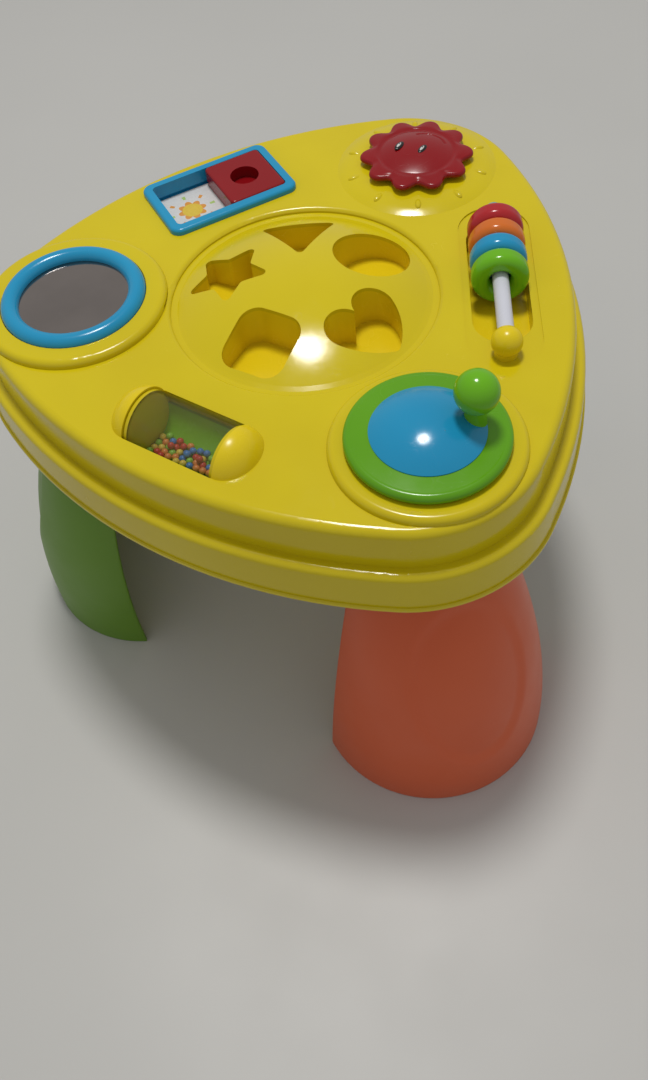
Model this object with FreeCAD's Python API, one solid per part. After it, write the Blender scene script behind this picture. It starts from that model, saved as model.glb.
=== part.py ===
"""Musical activity table for toddlers, built as separate mouldings around one upright axis.

The table has three corners. Lengths are in millimetres and angles in degrees.
Pieces are modelled with the table's upright axis at X = 0, Y = 0 and the floor at Z = 0,
and are shifted along Y on export, so that the origin lies under the middle of the whole table.
"""
import FreeCAD, Part
import math
import os
from FreeCAD import Vector as V

# The table as a whole
table_height = 273.6
floor_to_axis_shift = -28.0

# Plan of the top: one arc at each corner and a flatter one along each side
corner_radius = 77.0
corner_centre = 118.5
side_centre = 157.0
deck_thickness = 3.0
wall = 2.8
upper_wall_height = 27.0
skirt_height = 54.6
upper_wall_flare = 1.5
skirt_step = 8.5
skirt_flare = 1.6
bead_height = 2.6
bead_stand = 1.2

# Directions of the three corners and of the three sides
sun_corner = 90.0
mirror_corner = 210.0
crank_corner = 330.0
corners = (sun_corner, mirror_corner, crank_corner)
drum_side = 270.0
abacus_side = 30.0
slider_side = 150.0
corner_toy_radius = 140.0

# Sorting dome with its five wells
dome_hole_radius = 81.0
dome_crest = 14.0
dome_sphere = 180.0
dome_skin = 2.4
dome_edge_radius = 74.0
well_floor = -16.5
well_wall = 2.0
square_place = (50.5, -86.4)
square_side = 40.0
square_corner = 11.0
heart_place = (44.5, -10.5)
heart_lobe = 12.6
heart_half_gap = 12.0
heart_tip = 29.25
heart_tip_round = 4.5
heart_flank = 44.0
circle_place = (48.6, 63.5)
circle_radius = 23.4
triangle_place = (48.6, 125.5)
triangle_side = 48.0
star_place = (47.8, 194.3)
star_tip_radius = 28.0
star_waist_radius = 14.5

# Mirror
mirror_base_radius = 57.0
mirror_base_height = 5.0
mirror_ring_outer = 44.3
mirror_ring_inner = 33.5
mirror_ring_crest = 9.5
mirror_seat = 2.0
mirror_thickness = 2.0

# Crank with its ball knob
crank_base_radius = 53.5
crank_base_height = 4.5
crank_ring_radius = 44.5
crank_dome_radius = 31.0
crank_dome_base = 12.5
crank_dome_crest = 22.0
crank_axle_radius = 6.0
crank_axle_end = -20.0
crank_cam_radius = 9.0
crank_cam_height = 4.0
crank_cam_lobes = 6
crank_cam_lobe_radius = 2.2
crank_screw_head = 3.0
running_gap = 0.08
knob_radius = 12.0
knob_centre_height = 35.0
knob_offset = 25.0
knob_angle = 40.0

# Sun button
sun_base_radius = 52.0
sun_base_height = 3.6
sun_plate_bottom = 6.9
sun_plate_top = 10.2
sun_face_radius = 24.5
sun_crest = 15.0
petals = 10
petal_turn = 12.0
petal_tip_radius = 38.0
petal_valley_radius = 29.8
petal_notch_radius = 6.0
petal_tip_round = 4.6
eye_places = ((-4.0, 10.6), (-0.6, -4.6))
plunger_radius = 10.0
button_travel = 3.0
spring_wire = 0.9
spring_radius = 13.0
spring_turns = 4

# Picture slider
slider_radius = 120.0
slider_length = 90.0
slider_width = 57.0
slider_bar = 6.0
slider_corner = 7.0
slider_stand = 4.0
slider_floor = -8.0
slider_slot = 1.5
block_length = 39.5
block_top = 4.6
finger_hole_radius = 9.5
slide_gap = 0.3

# Counting rings on their rod
rod_radius = 4.75
rod_height = 8.0
abacus_radius = 116.0
ring_radius = 17.0
ring_hole_radius = 6.2
ring_thickness = 13.6
ring_pitch = 13.9
first_ring_along = 44.0
ring_hang = 1.1
near_ball_along = -54.0
near_ball_radius = 9.0
far_ball_along = 58.5
far_ball_radius = 6.5
pit_half_width = 17.4
pit_near = -45.0
pit_far = 61.0
pit_floor = -14.0

# Bead drum
drum_radius_from_axis = 123.5
drum_along = 2.0
drum_axis_height = -7.0
drum_radius = 19.6
drum_skin = 1.6
drum_length = 59.4
drum_window_length = 60.4
drum_window_width = 40.0
drum_pin_radius = 3.0
cheek_radius = 21.0
cheek_length = 17.0
bead_radius = 2.15

# Legs: half shells, open towards the middle of the table
leg_spread = 93.0
leg_wall = 3.0
leg_sections = 5
foot_centre = 147.4
foot_radius = 79.6
leg_top_centre = 129.0
leg_top_radius = 36.0
leg_bow = 8.0
leg_swell = 9.0
leg_top_height = 220.4
leg_top_plate = 3.0
leg_panel_depth = 1.0
leg_panel_height = 104.0
leg_panel_half_height = 70.0
leg_panel_half_width = 38.0

# Underside: cover, battery box with three small round cells, speaker, board and switch
cover_thickness = 3.0
cover_recess = 1.5
cover_gap = 0.3
cover_low = table_height - skirt_height + cover_recess
cover_high = cover_low + cover_thickness
cell_radius = 7.1
cell_length = 50.0
cell_gap = 1.2
battery_x = 38.0
battery_half_x = 28.0
battery_half_y = 34.0
battery_wall = 2.0
battery_end_wall = 4.5
battery_height = 17.5
door_margin = 3.7
door_screw_x = 66.8
screw_head_radius = 3.0
screw_head_height = 2.0
screw_radius = 1.3
screw_hole_radius = 1.8
screw_post_radius = 4.0
screw_place_radius = 150.0
screw_place_angle = 26.0
leg_screw_out = 8.0
leg_screw_aside = 20.0
leg_tab = (4.0, 12.0, 9.0, 8.0)
leg_tab_gap = 0.3
speaker_place = (-62.0, 20.0)
speaker_slots = 7
speaker_slot_pitch = 6.0
speaker_slot_width = 2.4
speaker_slot_reach = 22.0
board_x = (-50.0, 0.0)
board_y = (-68.0, -34.0)
board_stand = 6.0
board_thickness = 1.6
switch_x = -24.0
switch_y = -61.0
switch_travel = 6.0


def polar(radius, angle, height=0.0):
    """Point at a distance and direction from the upright axis."""
    a = math.radians(angle)
    return V(radius * math.cos(a), radius * math.sin(a), height)


def on_deck(shape, direction, radius, along=0.0):
    """Move a shape from its own frame (x outwards, y along the side, z from the deck) to the table."""
    placed = shape.copy()
    placed.translate(V(radius, along, 0))
    placed.rotate(V(0, 0, 0), V(0, 0, 1), direction)
    placed.translate(V(0, 0, table_height))
    return placed


def cylinder(radius, low, high, x=0.0, y=0.0):
    return Part.makeCylinder(radius, high - low, V(x, y, low))


def box(low, high):
    return Part.makeBox(high[0] - low[0], high[1] - low[1], high[2] - low[2], V(*low))


def fused(shapes):
    shapes = list(shapes)
    if len(shapes) == 1:
        return shapes[0]
    return shapes[0].fuse(shapes[1:]).removeSplitter()


def polygon_face(points):
    return Part.Face(Part.makePolygon(points + [points[0]]))


def prism(face, low, high):
    """Extrude a flat face drawn at Z = 0 from one height to another."""
    base = face.copy()
    base.translate(V(0, 0, low))
    return base.extrude(V(0, 0, high - low))


def turned(edges_xz):
    """Revolve a closed outline in the XZ plane about the upright axis."""
    face = Part.Face(Part.Wire(edges_xz))
    return face.revolve(V(0, 0, 0), V(0, 0, 1), 360)


def profile(points):
    """Edges through (x, z) points; a third item in a point marks the middle of an arc to the next."""
    edges = []
    here = points[0]
    i = 1
    closed = points + [points[0]]
    while i < len(closed):
        following = closed[i]
        a = V(here[0], 0, here[1])
        if len(following) == 3:
            end = closed[i + 1]
            middle = V(following[0], 0, following[1])
            edges.append(Part.Arc(a, middle, V(end[0], 0, end[1])).toShape())
            here = end
            i += 2
        else:
            edges.append(Part.LineSegment(a, V(following[0], 0, following[1])).toShape())
            here = following
            i += 1
    return edges


def cap_middle(crest, base_radius, base_height):
    """Point half way out on a round cap, so that its arc is centred on the axis."""
    rise = crest - base_height
    sphere = (base_radius ** 2 + rise ** 2) / (2 * rise)
    half = base_radius / 2
    return (half, crest - sphere + math.sqrt(sphere ** 2 - half ** 2), "arc")


def rounded_rectangle(length_x, length_y, corner):
    """Flat face centred on the origin with round corners."""
    hx = length_x / 2
    hy = length_y / 2
    face = Part.makePlane(length_x, length_y, V(-hx, -hy, 0))
    block = face.extrude(V(0, 0, 10))
    upright = [e for e in block.Edges if abs(e.BoundBox.ZLength - 10) < 1e-6]
    rounded = block.makeFillet(corner, upright)
    return [f for f in rounded.Faces if abs(f.CenterOfMass.z) < 1e-6][0]


def obround(low_y, high_y, half_width):
    """Flat face with half-round ends, long in Y."""
    a = low_y + half_width
    b = high_y - half_width
    edges = [
        Part.Arc(V(half_width, b, 0), V(0, high_y, 0), V(-half_width, b, 0)).toShape(),
        Part.LineSegment(V(-half_width, b, 0), V(-half_width, a, 0)).toShape(),
        Part.Arc(V(-half_width, a, 0), V(0, low_y, 0), V(half_width, a, 0)).toShape(),
        Part.LineSegment(V(half_width, a, 0), V(half_width, b, 0)).toShape(),
    ]
    return Part.Face(Part.Wire(edges))


def plan_wire(offset, height):
    """Outline of the table top, set out or in from its upper edge line."""
    apart = polar(side_centre, 120).sub(polar(corner_centre, 0)).Length
    side_radius = apart + corner_radius
    edges = []
    for corner in corners:
        centre = polar(corner_centre, corner, height)
        ends = []
        for turn in (120, -120):
            pivot = polar(side_centre, corner + turn, height)
            reach = (side_radius + offset) / apart
            ends.append(pivot.add(centre.sub(pivot).multiply(reach)))
        tip = polar(corner_centre + corner_radius + offset, corner, height)
        edges.append(Part.Arc(ends[0], tip, ends[1]).toShape())
        middle = polar(side_radius - side_centre + offset, corner + 60, height)
        following = polar(corner_centre, corner + 120, height)
        pivot = polar(side_centre, corner + 240, height)
        start_next = pivot.add(following.sub(pivot).multiply((side_radius + offset) / apart))
        edges.append(Part.Arc(ends[1], middle, start_next).toShape())
    return Part.Wire(edges)


def plan_band(low_offset, low, high_offset, high):
    """Solid between two outlines of the top."""
    return Part.makeLoft([plan_wire(low_offset, low), plan_wire(high_offset, high)], True, True)


def edges_at(shape, height, slack=0.05):
    """Edges that lie level at a height."""
    found = []
    for edge in shape.Edges:
        b = edge.BoundBox
        if b.ZMin > height - slack and b.ZMax < height + slack:
            found.append(edge)
    return found


# Deck and skirt

def skirt_solid(inset, drop):
    """Stepped body of the top, as a full solid; inset and drop give the inside of the moulding."""
    top = table_height - drop
    ledge = table_height - upper_wall_height - drop
    foot = table_height - skirt_height
    upper = plan_band(upper_wall_flare - inset, ledge - 6, -inset, top)
    upper = upper.makeFillet(5.0 - min(drop, 2.5), edges_at(upper, top))
    lower_top = skirt_step - inset
    lower = plan_band(lower_top + skirt_flare, foot, lower_top, ledge)
    lower = lower.makeFillet(4.0 - min(drop, 2.5), edges_at(lower, ledge))
    return upper.fuse(lower)


def round_base(radius, height, rounding):
    """Raised round pad on the deck with a rounded rim."""
    pad = cylinder(radius, -deck_thickness, height)
    return pad.makeFillet(rounding, edges_at(pad, height))


def sun_base():
    """Low cone under the sun, with a small raised drop between each pair of petals."""
    edges = profile([
        (0, -deck_thickness), (sun_base_radius, -deck_thickness), (sun_base_radius, 0),
        (sun_base_radius - 7.5, sun_base_height * 0.7, "arc"), (sun_base_radius - 17, sun_base_height),
        (0, sun_base_height),
    ])
    shapes = [turned(edges)]
    for k in range(petals):
        drop = Part.makeSphere(1.0)
        stretch = FreeCAD.Matrix()
        stretch.scale(4.6, 2.3, 2.0)
        drop = drop.transformGeometry(stretch)
        drop.translate(V(petal_tip_radius + 4.5, 0, 1.9))
        drop.rotate(V(0, 0, 0), V(0, 0, 1), petal_turn + (k + 0.5) * 360 / petals)
        shapes.append(drop)
    return fused(shapes)


def dome_opening():
    """Cutter for the round hole in the deck, with a soft rim."""
    r = dome_hole_radius
    t = deck_thickness
    edges = profile([
        (0, -t - 1), (r, -t - 1), (r, -1.8), (r + 1.1, -0.5, "arc"), (r + 3.4, 0), (r + 3.4, 2), (0, 2),
    ])
    cutter = turned(edges)
    cutter.translate(V(0, 0, table_height))
    return cutter


def deck_cutters():
    """Everything that is cut through the deck."""
    t = deck_thickness
    cutters = [dome_opening()]
    pocket = cylinder(mirror_ring_outer + 0.4, mirror_seat, 20)
    cutters.append(on_deck(pocket, mirror_corner, corner_toy_radius))
    cutters.append(on_deck(cylinder(crank_axle_radius + running_gap, -20, 20), crank_corner, corner_toy_radius))
    well = fused([cylinder(plunger_radius + 0.3, -20, 20), cylinder(spring_radius + 2.5, -0.5, 20)])
    cutters.append(on_deck(well, sun_corner, corner_toy_radius))
    frame_cut = prism(rounded_rectangle(slider_width - 5, slider_length - 5, 5), -t - 1, 2)
    cutters.append(on_deck(frame_cut, slider_side, slider_radius))
    dish = prism(obround(pit_near - 21, pit_far + 14, 22), -1.0, 2)
    cutters.append(on_deck(dish, abacus_side, abacus_radius))
    pit = prism(obround(pit_near, pit_far, pit_half_width), -t - 1, 2)
    cutters.append(on_deck(pit, abacus_side, abacus_radius))
    window = prism(rounded_rectangle(drum_window_width, drum_window_length, 1.0), -t - 1, 2)
    cutters.append(on_deck(window, drum_side, drum_radius_from_axis, drum_along))
    return cutters


def cover_screw_places():
    """Six screws hold the cover: one on each side of every leg."""
    places = []
    for corner in corners:
        places.append(polar(screw_place_radius, corner + screw_place_angle))
        places.append(polar(screw_place_radius, corner - screw_place_angle))
    return places


def top_shell():
    outer = skirt_solid(0, 0)
    foot = table_height - skirt_height
    low = skirt_step + skirt_flare + bead_stand
    bead = plan_band(low, foot, low, foot + bead_height)
    bead = bead.makeFillet(1.1, edges_at(bead, foot + bead_height))
    pads = [
        on_deck(round_base(mirror_base_radius, mirror_base_height, 4.0), mirror_corner, corner_toy_radius),
        on_deck(round_base(crank_base_radius, crank_base_height, 4.0), crank_corner, corner_toy_radius),
        on_deck(sun_base(), sun_corner, corner_toy_radius),
    ]
    body = outer.fuse([bead])
    inner = skirt_solid(wall, deck_thickness)
    shell = body.cut(inner).fuse(pads)
    sleeves = [
        on_deck(cylinder(crank_axle_radius + 2.6, -14, 0), crank_corner, corner_toy_radius),
        on_deck(cylinder(plunger_radius + 2.4, -12, 0), sun_corner, corner_toy_radius),
    ]
    for place in cover_screw_places():
        post = cylinder(screw_post_radius, cover_high, table_height - 1, place.x, place.y)
        sleeves.append(post.cut(cylinder(screw_radius, cover_high, cover_high + 16, place.x, place.y)))
    shell = shell.fuse(sleeves)
    return shell.cut(deck_cutters()).removeSplitter()


# Sorting dome

def square_outline():
    return rounded_rectangle(square_side, square_side, square_corner)


def circle_outline():
    return Part.Face(Part.Wire(Part.makeCircle(circle_radius)))


def rounded_polygon(points, rounding):
    """Flat face with every corner rounded by the same radius."""
    block = polygon_face(points).extrude(V(0, 0, 10))
    upright = [e for e in block.Edges if e.BoundBox.ZLength > 9.9]
    rounded = block.makeFillet(rounding, upright)
    return [f for f in rounded.Faces if abs(f.CenterOfMass.z) < 1e-6][0]


def triangle_outline():
    """Even-sided triangle with one side outwards."""
    reach = triangle_side / math.sqrt(3)
    points = [polar(reach, a) for a in (60, 180, 300)]
    return rounded_polygon(points, 2.5)


def star_outline():
    """Five plump points, one of them pointing to the middle of the dome."""
    points = []
    for k in range(10):
        reach = star_waist_radius if k % 2 == 0 else star_tip_radius
        points.append(polar(reach, k * 36))
    return rounded_polygon(points, 3.0)


def far_crossing(first, first_reach, second, second_reach, side):
    """Point at two given distances from two others, on the right hand (side 1) or the left hand (side -1)."""
    along = second.sub(first)
    gap = along.Length
    step = (first_reach ** 2 - second_reach ** 2 + gap ** 2) / (2 * gap)
    across = V(along.y, -along.x, 0).multiply(side * math.sqrt(first_reach ** 2 - step ** 2) / gap)
    return first.add(V(along).multiply(step / gap)).add(across)


def on_circle(centre, radius, towards):
    """Point of a circle in the direction of another point."""
    direction = towards.sub(centre)
    return centre.add(direction.multiply(radius / direction.Length))


def heart_outline(wider):
    """Two round lobes towards the middle of the dome, long flanks and a round tip outwards, all arcs that touch.

    X = 0 is the line of the lobes' centres; wider moves the outline out evenly.
    """
    lobe = heart_lobe + wider
    flank = heart_flank + wider
    notch = V(-math.sqrt(lobe ** 2 - heart_half_gap ** 2), 0, 0)
    tip = V(heart_tip + wider, 0, 0)
    tip_middle = V(heart_tip - heart_tip_round, 0, 0)
    upper = []
    lower = []
    tip_ends = []
    for side in (1, -1):
        lobe_middle = V(0, side * heart_half_gap, 0)
        flank_middle = far_crossing(
            lobe_middle, heart_flank - heart_lobe, tip_middle, heart_flank - heart_tip_round, side)
        lobe_end = on_circle(flank_middle, flank, lobe_middle)
        tip_end = on_circle(flank_middle, flank, tip_middle)
        half_way = on_circle(flank_middle, flank, lobe_end.add(tip_end).multiply(0.5))
        back = on_circle(lobe_middle, lobe, lobe_middle.add(V(-3, side * 4, 0)))
        tip_ends.append(tip_end)
        if side > 0:
            upper = [Part.Arc(tip_end, half_way, lobe_end), Part.Arc(lobe_end, back, notch)]
        else:
            lower = [Part.Arc(notch, back, lobe_end), Part.Arc(lobe_end, half_way, tip_end)]
    round_tip = [Part.Arc(tip_ends[1], tip, tip_ends[0])]
    return Part.Face(Part.Wire([arc.toShape() for arc in upper + lower + round_tip]))


def grown(face, wider):
    """Flat face with its outline moved out evenly."""
    if wider == 0:
        return face
    return face.makeOffset2D(wider)


def well_outlines(wider=0):
    """The five outlines at their places on the dome, by name, as they are or moved out evenly."""
    drawn = {
        "square": (grown(square_outline(), wider), square_place),
        "heart": (heart_outline(wider), heart_place),
        "circle": (grown(circle_outline(), wider), circle_place),
        "triangle": (grown(triangle_outline(), wider), triangle_place),
        "star": (grown(star_outline(), wider), star_place),
    }
    placed = {}
    for name, (face, (radius, angle)) in drawn.items():
        face = face.copy()
        face.translate(V(radius, 0, 0))
        face.rotate(V(0, 0, 0), V(0, 0, 1), angle)
        placed[name] = face
    return placed


def dome_profile(thickness, bottom):
    """Outline of the dome's section, set in by a thickness and closed at a bottom height."""
    r = dome_edge_radius
    sphere = dome_sphere - thickness
    centre = dome_crest - dome_sphere
    edge = centre + math.sqrt(sphere * sphere - r * r)
    middle = centre + math.sqrt(sphere * sphere - r * r / 4)
    rim = dome_hole_radius + 5
    flange = -deck_thickness - thickness
    return profile([
        (0, dome_crest - thickness), (r / 2, middle, "arc"), (r, edge),
        (r + 3.0, flange), (rim, flange), (rim, bottom), (0, bottom),
    ])


def sorting_dome():
    """Round skin with the five openings and the flange that holds it under the deck."""
    bottom = well_floor - well_wall
    full = turned(dome_profile(0, bottom))
    hollow = turned(dome_profile(dome_skin, bottom - 1))
    openings = [prism(face, bottom, dome_crest + 5) for face in well_outlines().values()]
    shell = full.cut([hollow] + openings).removeSplitter()
    shell.translate(V(0, 0, table_height))
    return shell


def well_cups():
    """Walls and floor of each well, from the underside of the skin down."""
    bottom = well_floor - well_wall
    under_skin = turned(dome_profile(dome_skin, bottom))
    outer_outlines = well_outlines(well_wall)
    cups = {}
    for name, face in well_outlines().items():
        outside = prism(outer_outlines[name], bottom, dome_crest + 1)
        cup = outside.common(under_skin).cut(prism(face, well_floor, dome_crest + 5))
        cup.translate(V(0, 0, table_height))
        cups["well_" + name] = cup
    return cups


# Mirror

def mirror_frame():
    o = mirror_ring_outer
    i = mirror_ring_inner
    lip = mirror_seat + mirror_thickness + 0.1
    edges = profile([
        (i + 2.0, mirror_seat), (o - 0.6, mirror_seat), (o, mirror_seat + 0.6), (o, lip + 0.2),
        ((i + o) / 2, mirror_ring_crest, "arc"), (i, lip + 0.2), (i, lip), (i + 2.0, lip),
    ])
    return on_deck(turned(edges), mirror_corner, corner_toy_radius)


def mirror_plate():
    plate = cylinder(mirror_ring_inner + 1.8, mirror_seat, mirror_seat + mirror_thickness)
    return on_deck(plate, mirror_corner, corner_toy_radius)


# Crank

def crank_ring():
    """Sloping green ring that carries the dome, with the axle socket under it."""
    low = crank_base_height + 0.6
    r = crank_ring_radius
    d = crank_dome_radius
    b = crank_dome_base
    edges = profile([
        (crank_axle_radius, low), (r - 1.5, low), (r, low + 3.4, "arc"), (r - 4.0, low + 6.0),
        (d, b - 0.6), (d - 1.2, b - 0.6), (d - 1.2, b - 3.0), (crank_axle_radius, b - 3.0),
    ])
    return turned(edges)


def crank_dome():
    """Blue cap on the ring; its skin is thick enough to carry the knob."""
    d = crank_dome_radius
    b = crank_dome_base
    c = crank_dome_crest
    edges = profile([
        (0, c), cap_middle(c, d, b), (d, b), (d, b - 0.6), (d - 1.2, b - 0.6), (d - 1.2, b - 3.0),
        (d - 4.0, b - 3.0), (d - 4.0, b - 0.6), cap_middle(c - 3.0, d - 4.0, b - 0.6), (0, c - 3.0),
    ])
    return turned(edges)


def crank_knob():
    """Ball on a short neck."""
    ball = Part.makeSphere(knob_radius, V(0, 0, knob_centre_height))
    neck_low = 13.0
    neck = Part.makeCone(6.5, 5.2, knob_centre_height - 8 - neck_low, V(0, 0, neck_low))
    knob = ball.fuse(neck)
    a = math.radians(knob_angle - crank_corner)
    knob.translate(V(knob_offset * math.cos(a), knob_offset * math.sin(a), 0))
    return knob


def crank_pieces():
    """Everything that turns with the crank; a screw with a washer head holds the cam to the axle."""
    dome = crank_dome()
    knob = crank_knob().cut(turned(profile([
        (0, crank_dome_crest), cap_middle(crank_dome_crest, crank_dome_radius, crank_dome_base),
        (crank_dome_radius, crank_dome_base), (crank_dome_radius, 0), (0, 0),
    ])))
    end = crank_axle_end
    collar = crank_dome_base - 3.0
    axle = fused([
        cylinder(crank_axle_radius, end, collar),
        cylinder(crank_axle_radius + 4, collar, crank_dome_base - 1.0),
    ])
    axle = axle.cut(cylinder(screw_radius, end, end + 14))
    cam_low = end + 0.5
    cam_high = cam_low + crank_cam_height
    cam = cylinder(crank_cam_radius, cam_low, cam_high)
    for k in range(crank_cam_lobes):
        lobe = cylinder(crank_cam_lobe_radius, cam_low, cam_high, crank_cam_radius + 0.6, 0)
        lobe.rotate(V(0, 0, 0), V(0, 0, 1), k * 360 / crank_cam_lobes)
        cam = cam.fuse(lobe)
    cam = cam.removeSplitter().cut(cylinder(crank_axle_radius, end, cam_high + 1))
    washer_low = end - 1.2
    holder = fused([
        cylinder(crank_screw_head, washer_low - 2.0, washer_low),
        cylinder(crank_axle_radius + 1.5, washer_low, end),
        cylinder(screw_radius, end, end + 12),
    ])
    pieces = {
        "crank_ring": crank_ring(), "crank_dome": dome, "crank_knob": knob, "crank_axle": axle,
        "crank_cam": cam, "crank_screw": holder,
    }
    return {name: on_deck(s, crank_corner, corner_toy_radius) for name, s in pieces.items()}


def crank_contact():
    """Contact block beside the cam, just clear of its lobes."""
    near = crank_cam_radius + 0.6 + crank_cam_lobe_radius + 0.8
    block = box((near, -5, crank_axle_end), (near + 5.4, 5, -deck_thickness))
    return on_deck(block, crank_corner, corner_toy_radius)


# Sun button

def petal_plate(low, high):
    """Round plate with a hollow cut between each pair of petals and soft petal tips."""
    plate = cylinder(petal_tip_radius, low, high)
    reach = petal_valley_radius + petal_notch_radius
    hollows = []
    for k in range(petals):
        centre = polar(reach, petal_turn + (k + 0.5) * 360 / petals)
        hollows.append(cylinder(petal_notch_radius, low - 1, high + 1, centre.x, centre.y))
    plate = plate.cut(hollows)
    corners_of = []
    for edge in plate.Edges:
        upright = edge.BoundBox.ZLength > high - low - 0.01
        if upright and math.hypot(edge.CenterOfMass.x, edge.CenterOfMass.y) > petal_tip_radius - 0.1:
            corners_of.append(edge)
    return plate.makeFillet(petal_tip_round, corners_of)


def sun_button():
    """Flower plate with a raised round face and a hollow plunger."""
    plate = petal_plate(sun_plate_bottom, sun_plate_top)
    plate = plate.makeFillet(1.4, edges_at(plate, sun_plate_top))
    r = sun_face_radius
    brim = sun_plate_top + 0.9
    face = turned(profile([
        (0, sun_plate_bottom), (r, sun_plate_bottom), (r, brim), cap_middle(sun_crest, r, brim), (0, sun_crest),
    ]))
    plunger = cylinder(plunger_radius, -9.0, sun_plate_bottom)
    plunger = plunger.cut(cylinder(plunger_radius - 2, -7.0, sun_plate_bottom))
    button = fused([plate, face, plunger])
    return on_deck(button, sun_corner, corner_toy_radius)


def sun_eyes():
    """Two plain oval eyes set in the round face."""
    shapes = []
    for out, along in eye_places:
        eye = Part.makeSphere(1.0)
        stretch = FreeCAD.Matrix()
        stretch.scale(4.8, 2.3, 1.2)
        eye = eye.transformGeometry(stretch)
        eye.translate(V(out, along, sun_crest - 0.6))
        shapes.append(eye)
    return on_deck(Part.makeCompound(shapes), sun_corner, corner_toy_radius)


def button_spring():
    """Open coil between the deck and the button."""
    low = -0.5 + spring_wire / 2
    high = sun_plate_bottom - spring_wire / 2
    pitch = (high - low) / spring_turns
    helix = Part.makeHelix(pitch, high - low, spring_radius)
    corners_of = []
    for k in range(7):
        a = math.radians(60 * k)
        corners_of.append(V(spring_radius + spring_wire / 2 * math.cos(a), 0, spring_wire / 2 * math.sin(a)))
    coil = Part.Wire(helix.Edges).makePipeShell([Part.makePolygon(corners_of)], True, True)
    coil.translate(V(0, 0, low))
    return on_deck(coil, sun_corner, corner_toy_radius)


def sun_switch():
    """Push switch under the plunger on its own post."""
    cap_top = -9.0 - button_travel - 0.1
    shape = fused([box((-6, -6, cap_top - 5.0), (6, 6, cap_top - 1.2)), cylinder(2.0, cap_top - 1.2, cap_top)])
    bridge = box((-16, -5, cap_top - 7.0), (16, 5, cap_top - 5.0))
    shape = shape.fuse(bridge)
    return on_deck(shape.removeSplitter(), sun_corner, corner_toy_radius)


# Picture slider

def slider_frame():
    """Tray with a raised rim, a groove along each side and a flat floor."""
    t = 2.0
    inner_x = slider_width - 2 * slider_bar
    inner_y = slider_length - 2 * slider_bar
    rim = prism(rounded_rectangle(slider_width, slider_length, slider_corner), 0, slider_stand)
    rim = rim.makeFillet(2.2, edges_at(rim, slider_stand))
    low = slider_floor - t
    tub = prism(rounded_rectangle(slider_width - 5.4, slider_length - 5.4, 4.8), low, 0)
    hollow = prism(rounded_rectangle(inner_x, inner_y, 3.0), slider_floor, 10)
    groove = box((-inner_x / 2 - slider_slot, -inner_y / 2, -7.3), (inner_x / 2 + slider_slot, inner_y / 2, -5.1))
    return on_deck(rim.fuse(tub).cut([hollow, groove]), slider_side, slider_radius)


def picture_card():
    inner_x = slider_width - 2 * slider_bar - 0.4
    inner_y = slider_length - 2 * slider_bar - 0.4
    card = prism(rounded_rectangle(inner_x, inner_y, 2.8), slider_floor, slider_floor + 0.6)
    return on_deck(card, slider_side, slider_radius)


def slider_block():
    """Sliding block with a round finger hole and a tongue along each side; it starts at one end."""
    width = slider_width - 2 * slider_bar - 2 * slide_gap
    block = prism(rounded_rectangle(width, block_length, 3.0), -7.0, block_top)
    block = block.makeFillet(1.4, edges_at(block, block_top))
    hole = cylinder(finger_hole_radius, -3.5, block_top + 1)
    tongue = box((-width / 2 - 1.2, -block_length / 2 + 4, -7.0), (width / 2 + 1.2, block_length / 2 - 4, -5.4))
    block = block.fuse(tongue).cut(hole)
    travel_end = (slider_length - 2 * slider_bar - block_length) / 2 - slide_gap
    return on_deck(block, slider_side, slider_radius, -travel_end)


# Counting rings

def abacus_tray():
    """Deep trough under the rings, hung under the deck by its flange."""
    t = 2.0
    top = -deck_thickness
    flange = prism(obround(pit_near - 4, pit_far + 4, pit_half_width + 4), top - 2, top)
    tub = prism(obround(pit_near - t, pit_far + t, pit_half_width + t), pit_floor - t, top)
    hollow = prism(obround(pit_near, pit_far, pit_half_width), pit_floor, 5)
    return on_deck(flange.fuse(tub).cut(hollow), abacus_side, abacus_radius)


def along_rod(radius, low, high, height=rod_height):
    return Part.makeCylinder(radius, high - low, V(0, low, height), V(0, 1, 0))


def abacus_rod():
    return on_deck(along_rod(rod_radius, near_ball_along + 3, far_ball_along - 2), abacus_side, abacus_radius)


def rod_end(along, radius, neck):
    """Ball on a short post that holds one end of the rod."""
    ball = Part.makeSphere(radius, V(0, along, rod_height))
    post = cylinder(neck, -1.0, rod_height, 0, along)
    end = ball.fuse(post).cut(along_rod(rod_radius, near_ball_along + 3, far_ball_along - 2))
    return on_deck(end, abacus_side, abacus_radius)


def counting_ring(index):
    """Fat ring that hangs on the rod; index counts from the far end."""
    middle = first_ring_along - index * ring_pitch
    half = ring_thickness / 2
    round_off = 5.0
    section = Part.Face(Part.Wire(profile([
        (ring_hole_radius, -half + round_off), (ring_hole_radius, half - round_off),
        (ring_hole_radius + round_off * 0.293, half - round_off * 0.293, "arc"), (ring_hole_radius + round_off, half),
        (ring_radius - round_off, half), (ring_radius - round_off * 0.293, half - round_off * 0.293, "arc"),
        (ring_radius, half - round_off), (ring_radius, -half + round_off),
        (ring_radius - round_off * 0.293, -half + round_off * 0.293, "arc"), (ring_radius - round_off, -half),
        (ring_hole_radius + round_off, -half), (ring_hole_radius + round_off * 0.293, -half + round_off * 0.293, "arc"),
    ])))
    ring = section.revolve(V(0, 0, 0), V(0, 0, 1), 360)
    ring.rotate(V(0, 0, 0), V(1, 0, 0), 90)
    ring.translate(V(0, middle, rod_height - ring_hang))
    return on_deck(ring, abacus_side, abacus_radius)


# Bead drum

def drum_place(shape):
    return on_deck(shape, drum_side, drum_radius_from_axis, drum_along)


def along_drum(radius, low, high):
    return Part.makeCylinder(radius, high - low, V(0, low, drum_axis_height), V(0, 1, 0))


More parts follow.
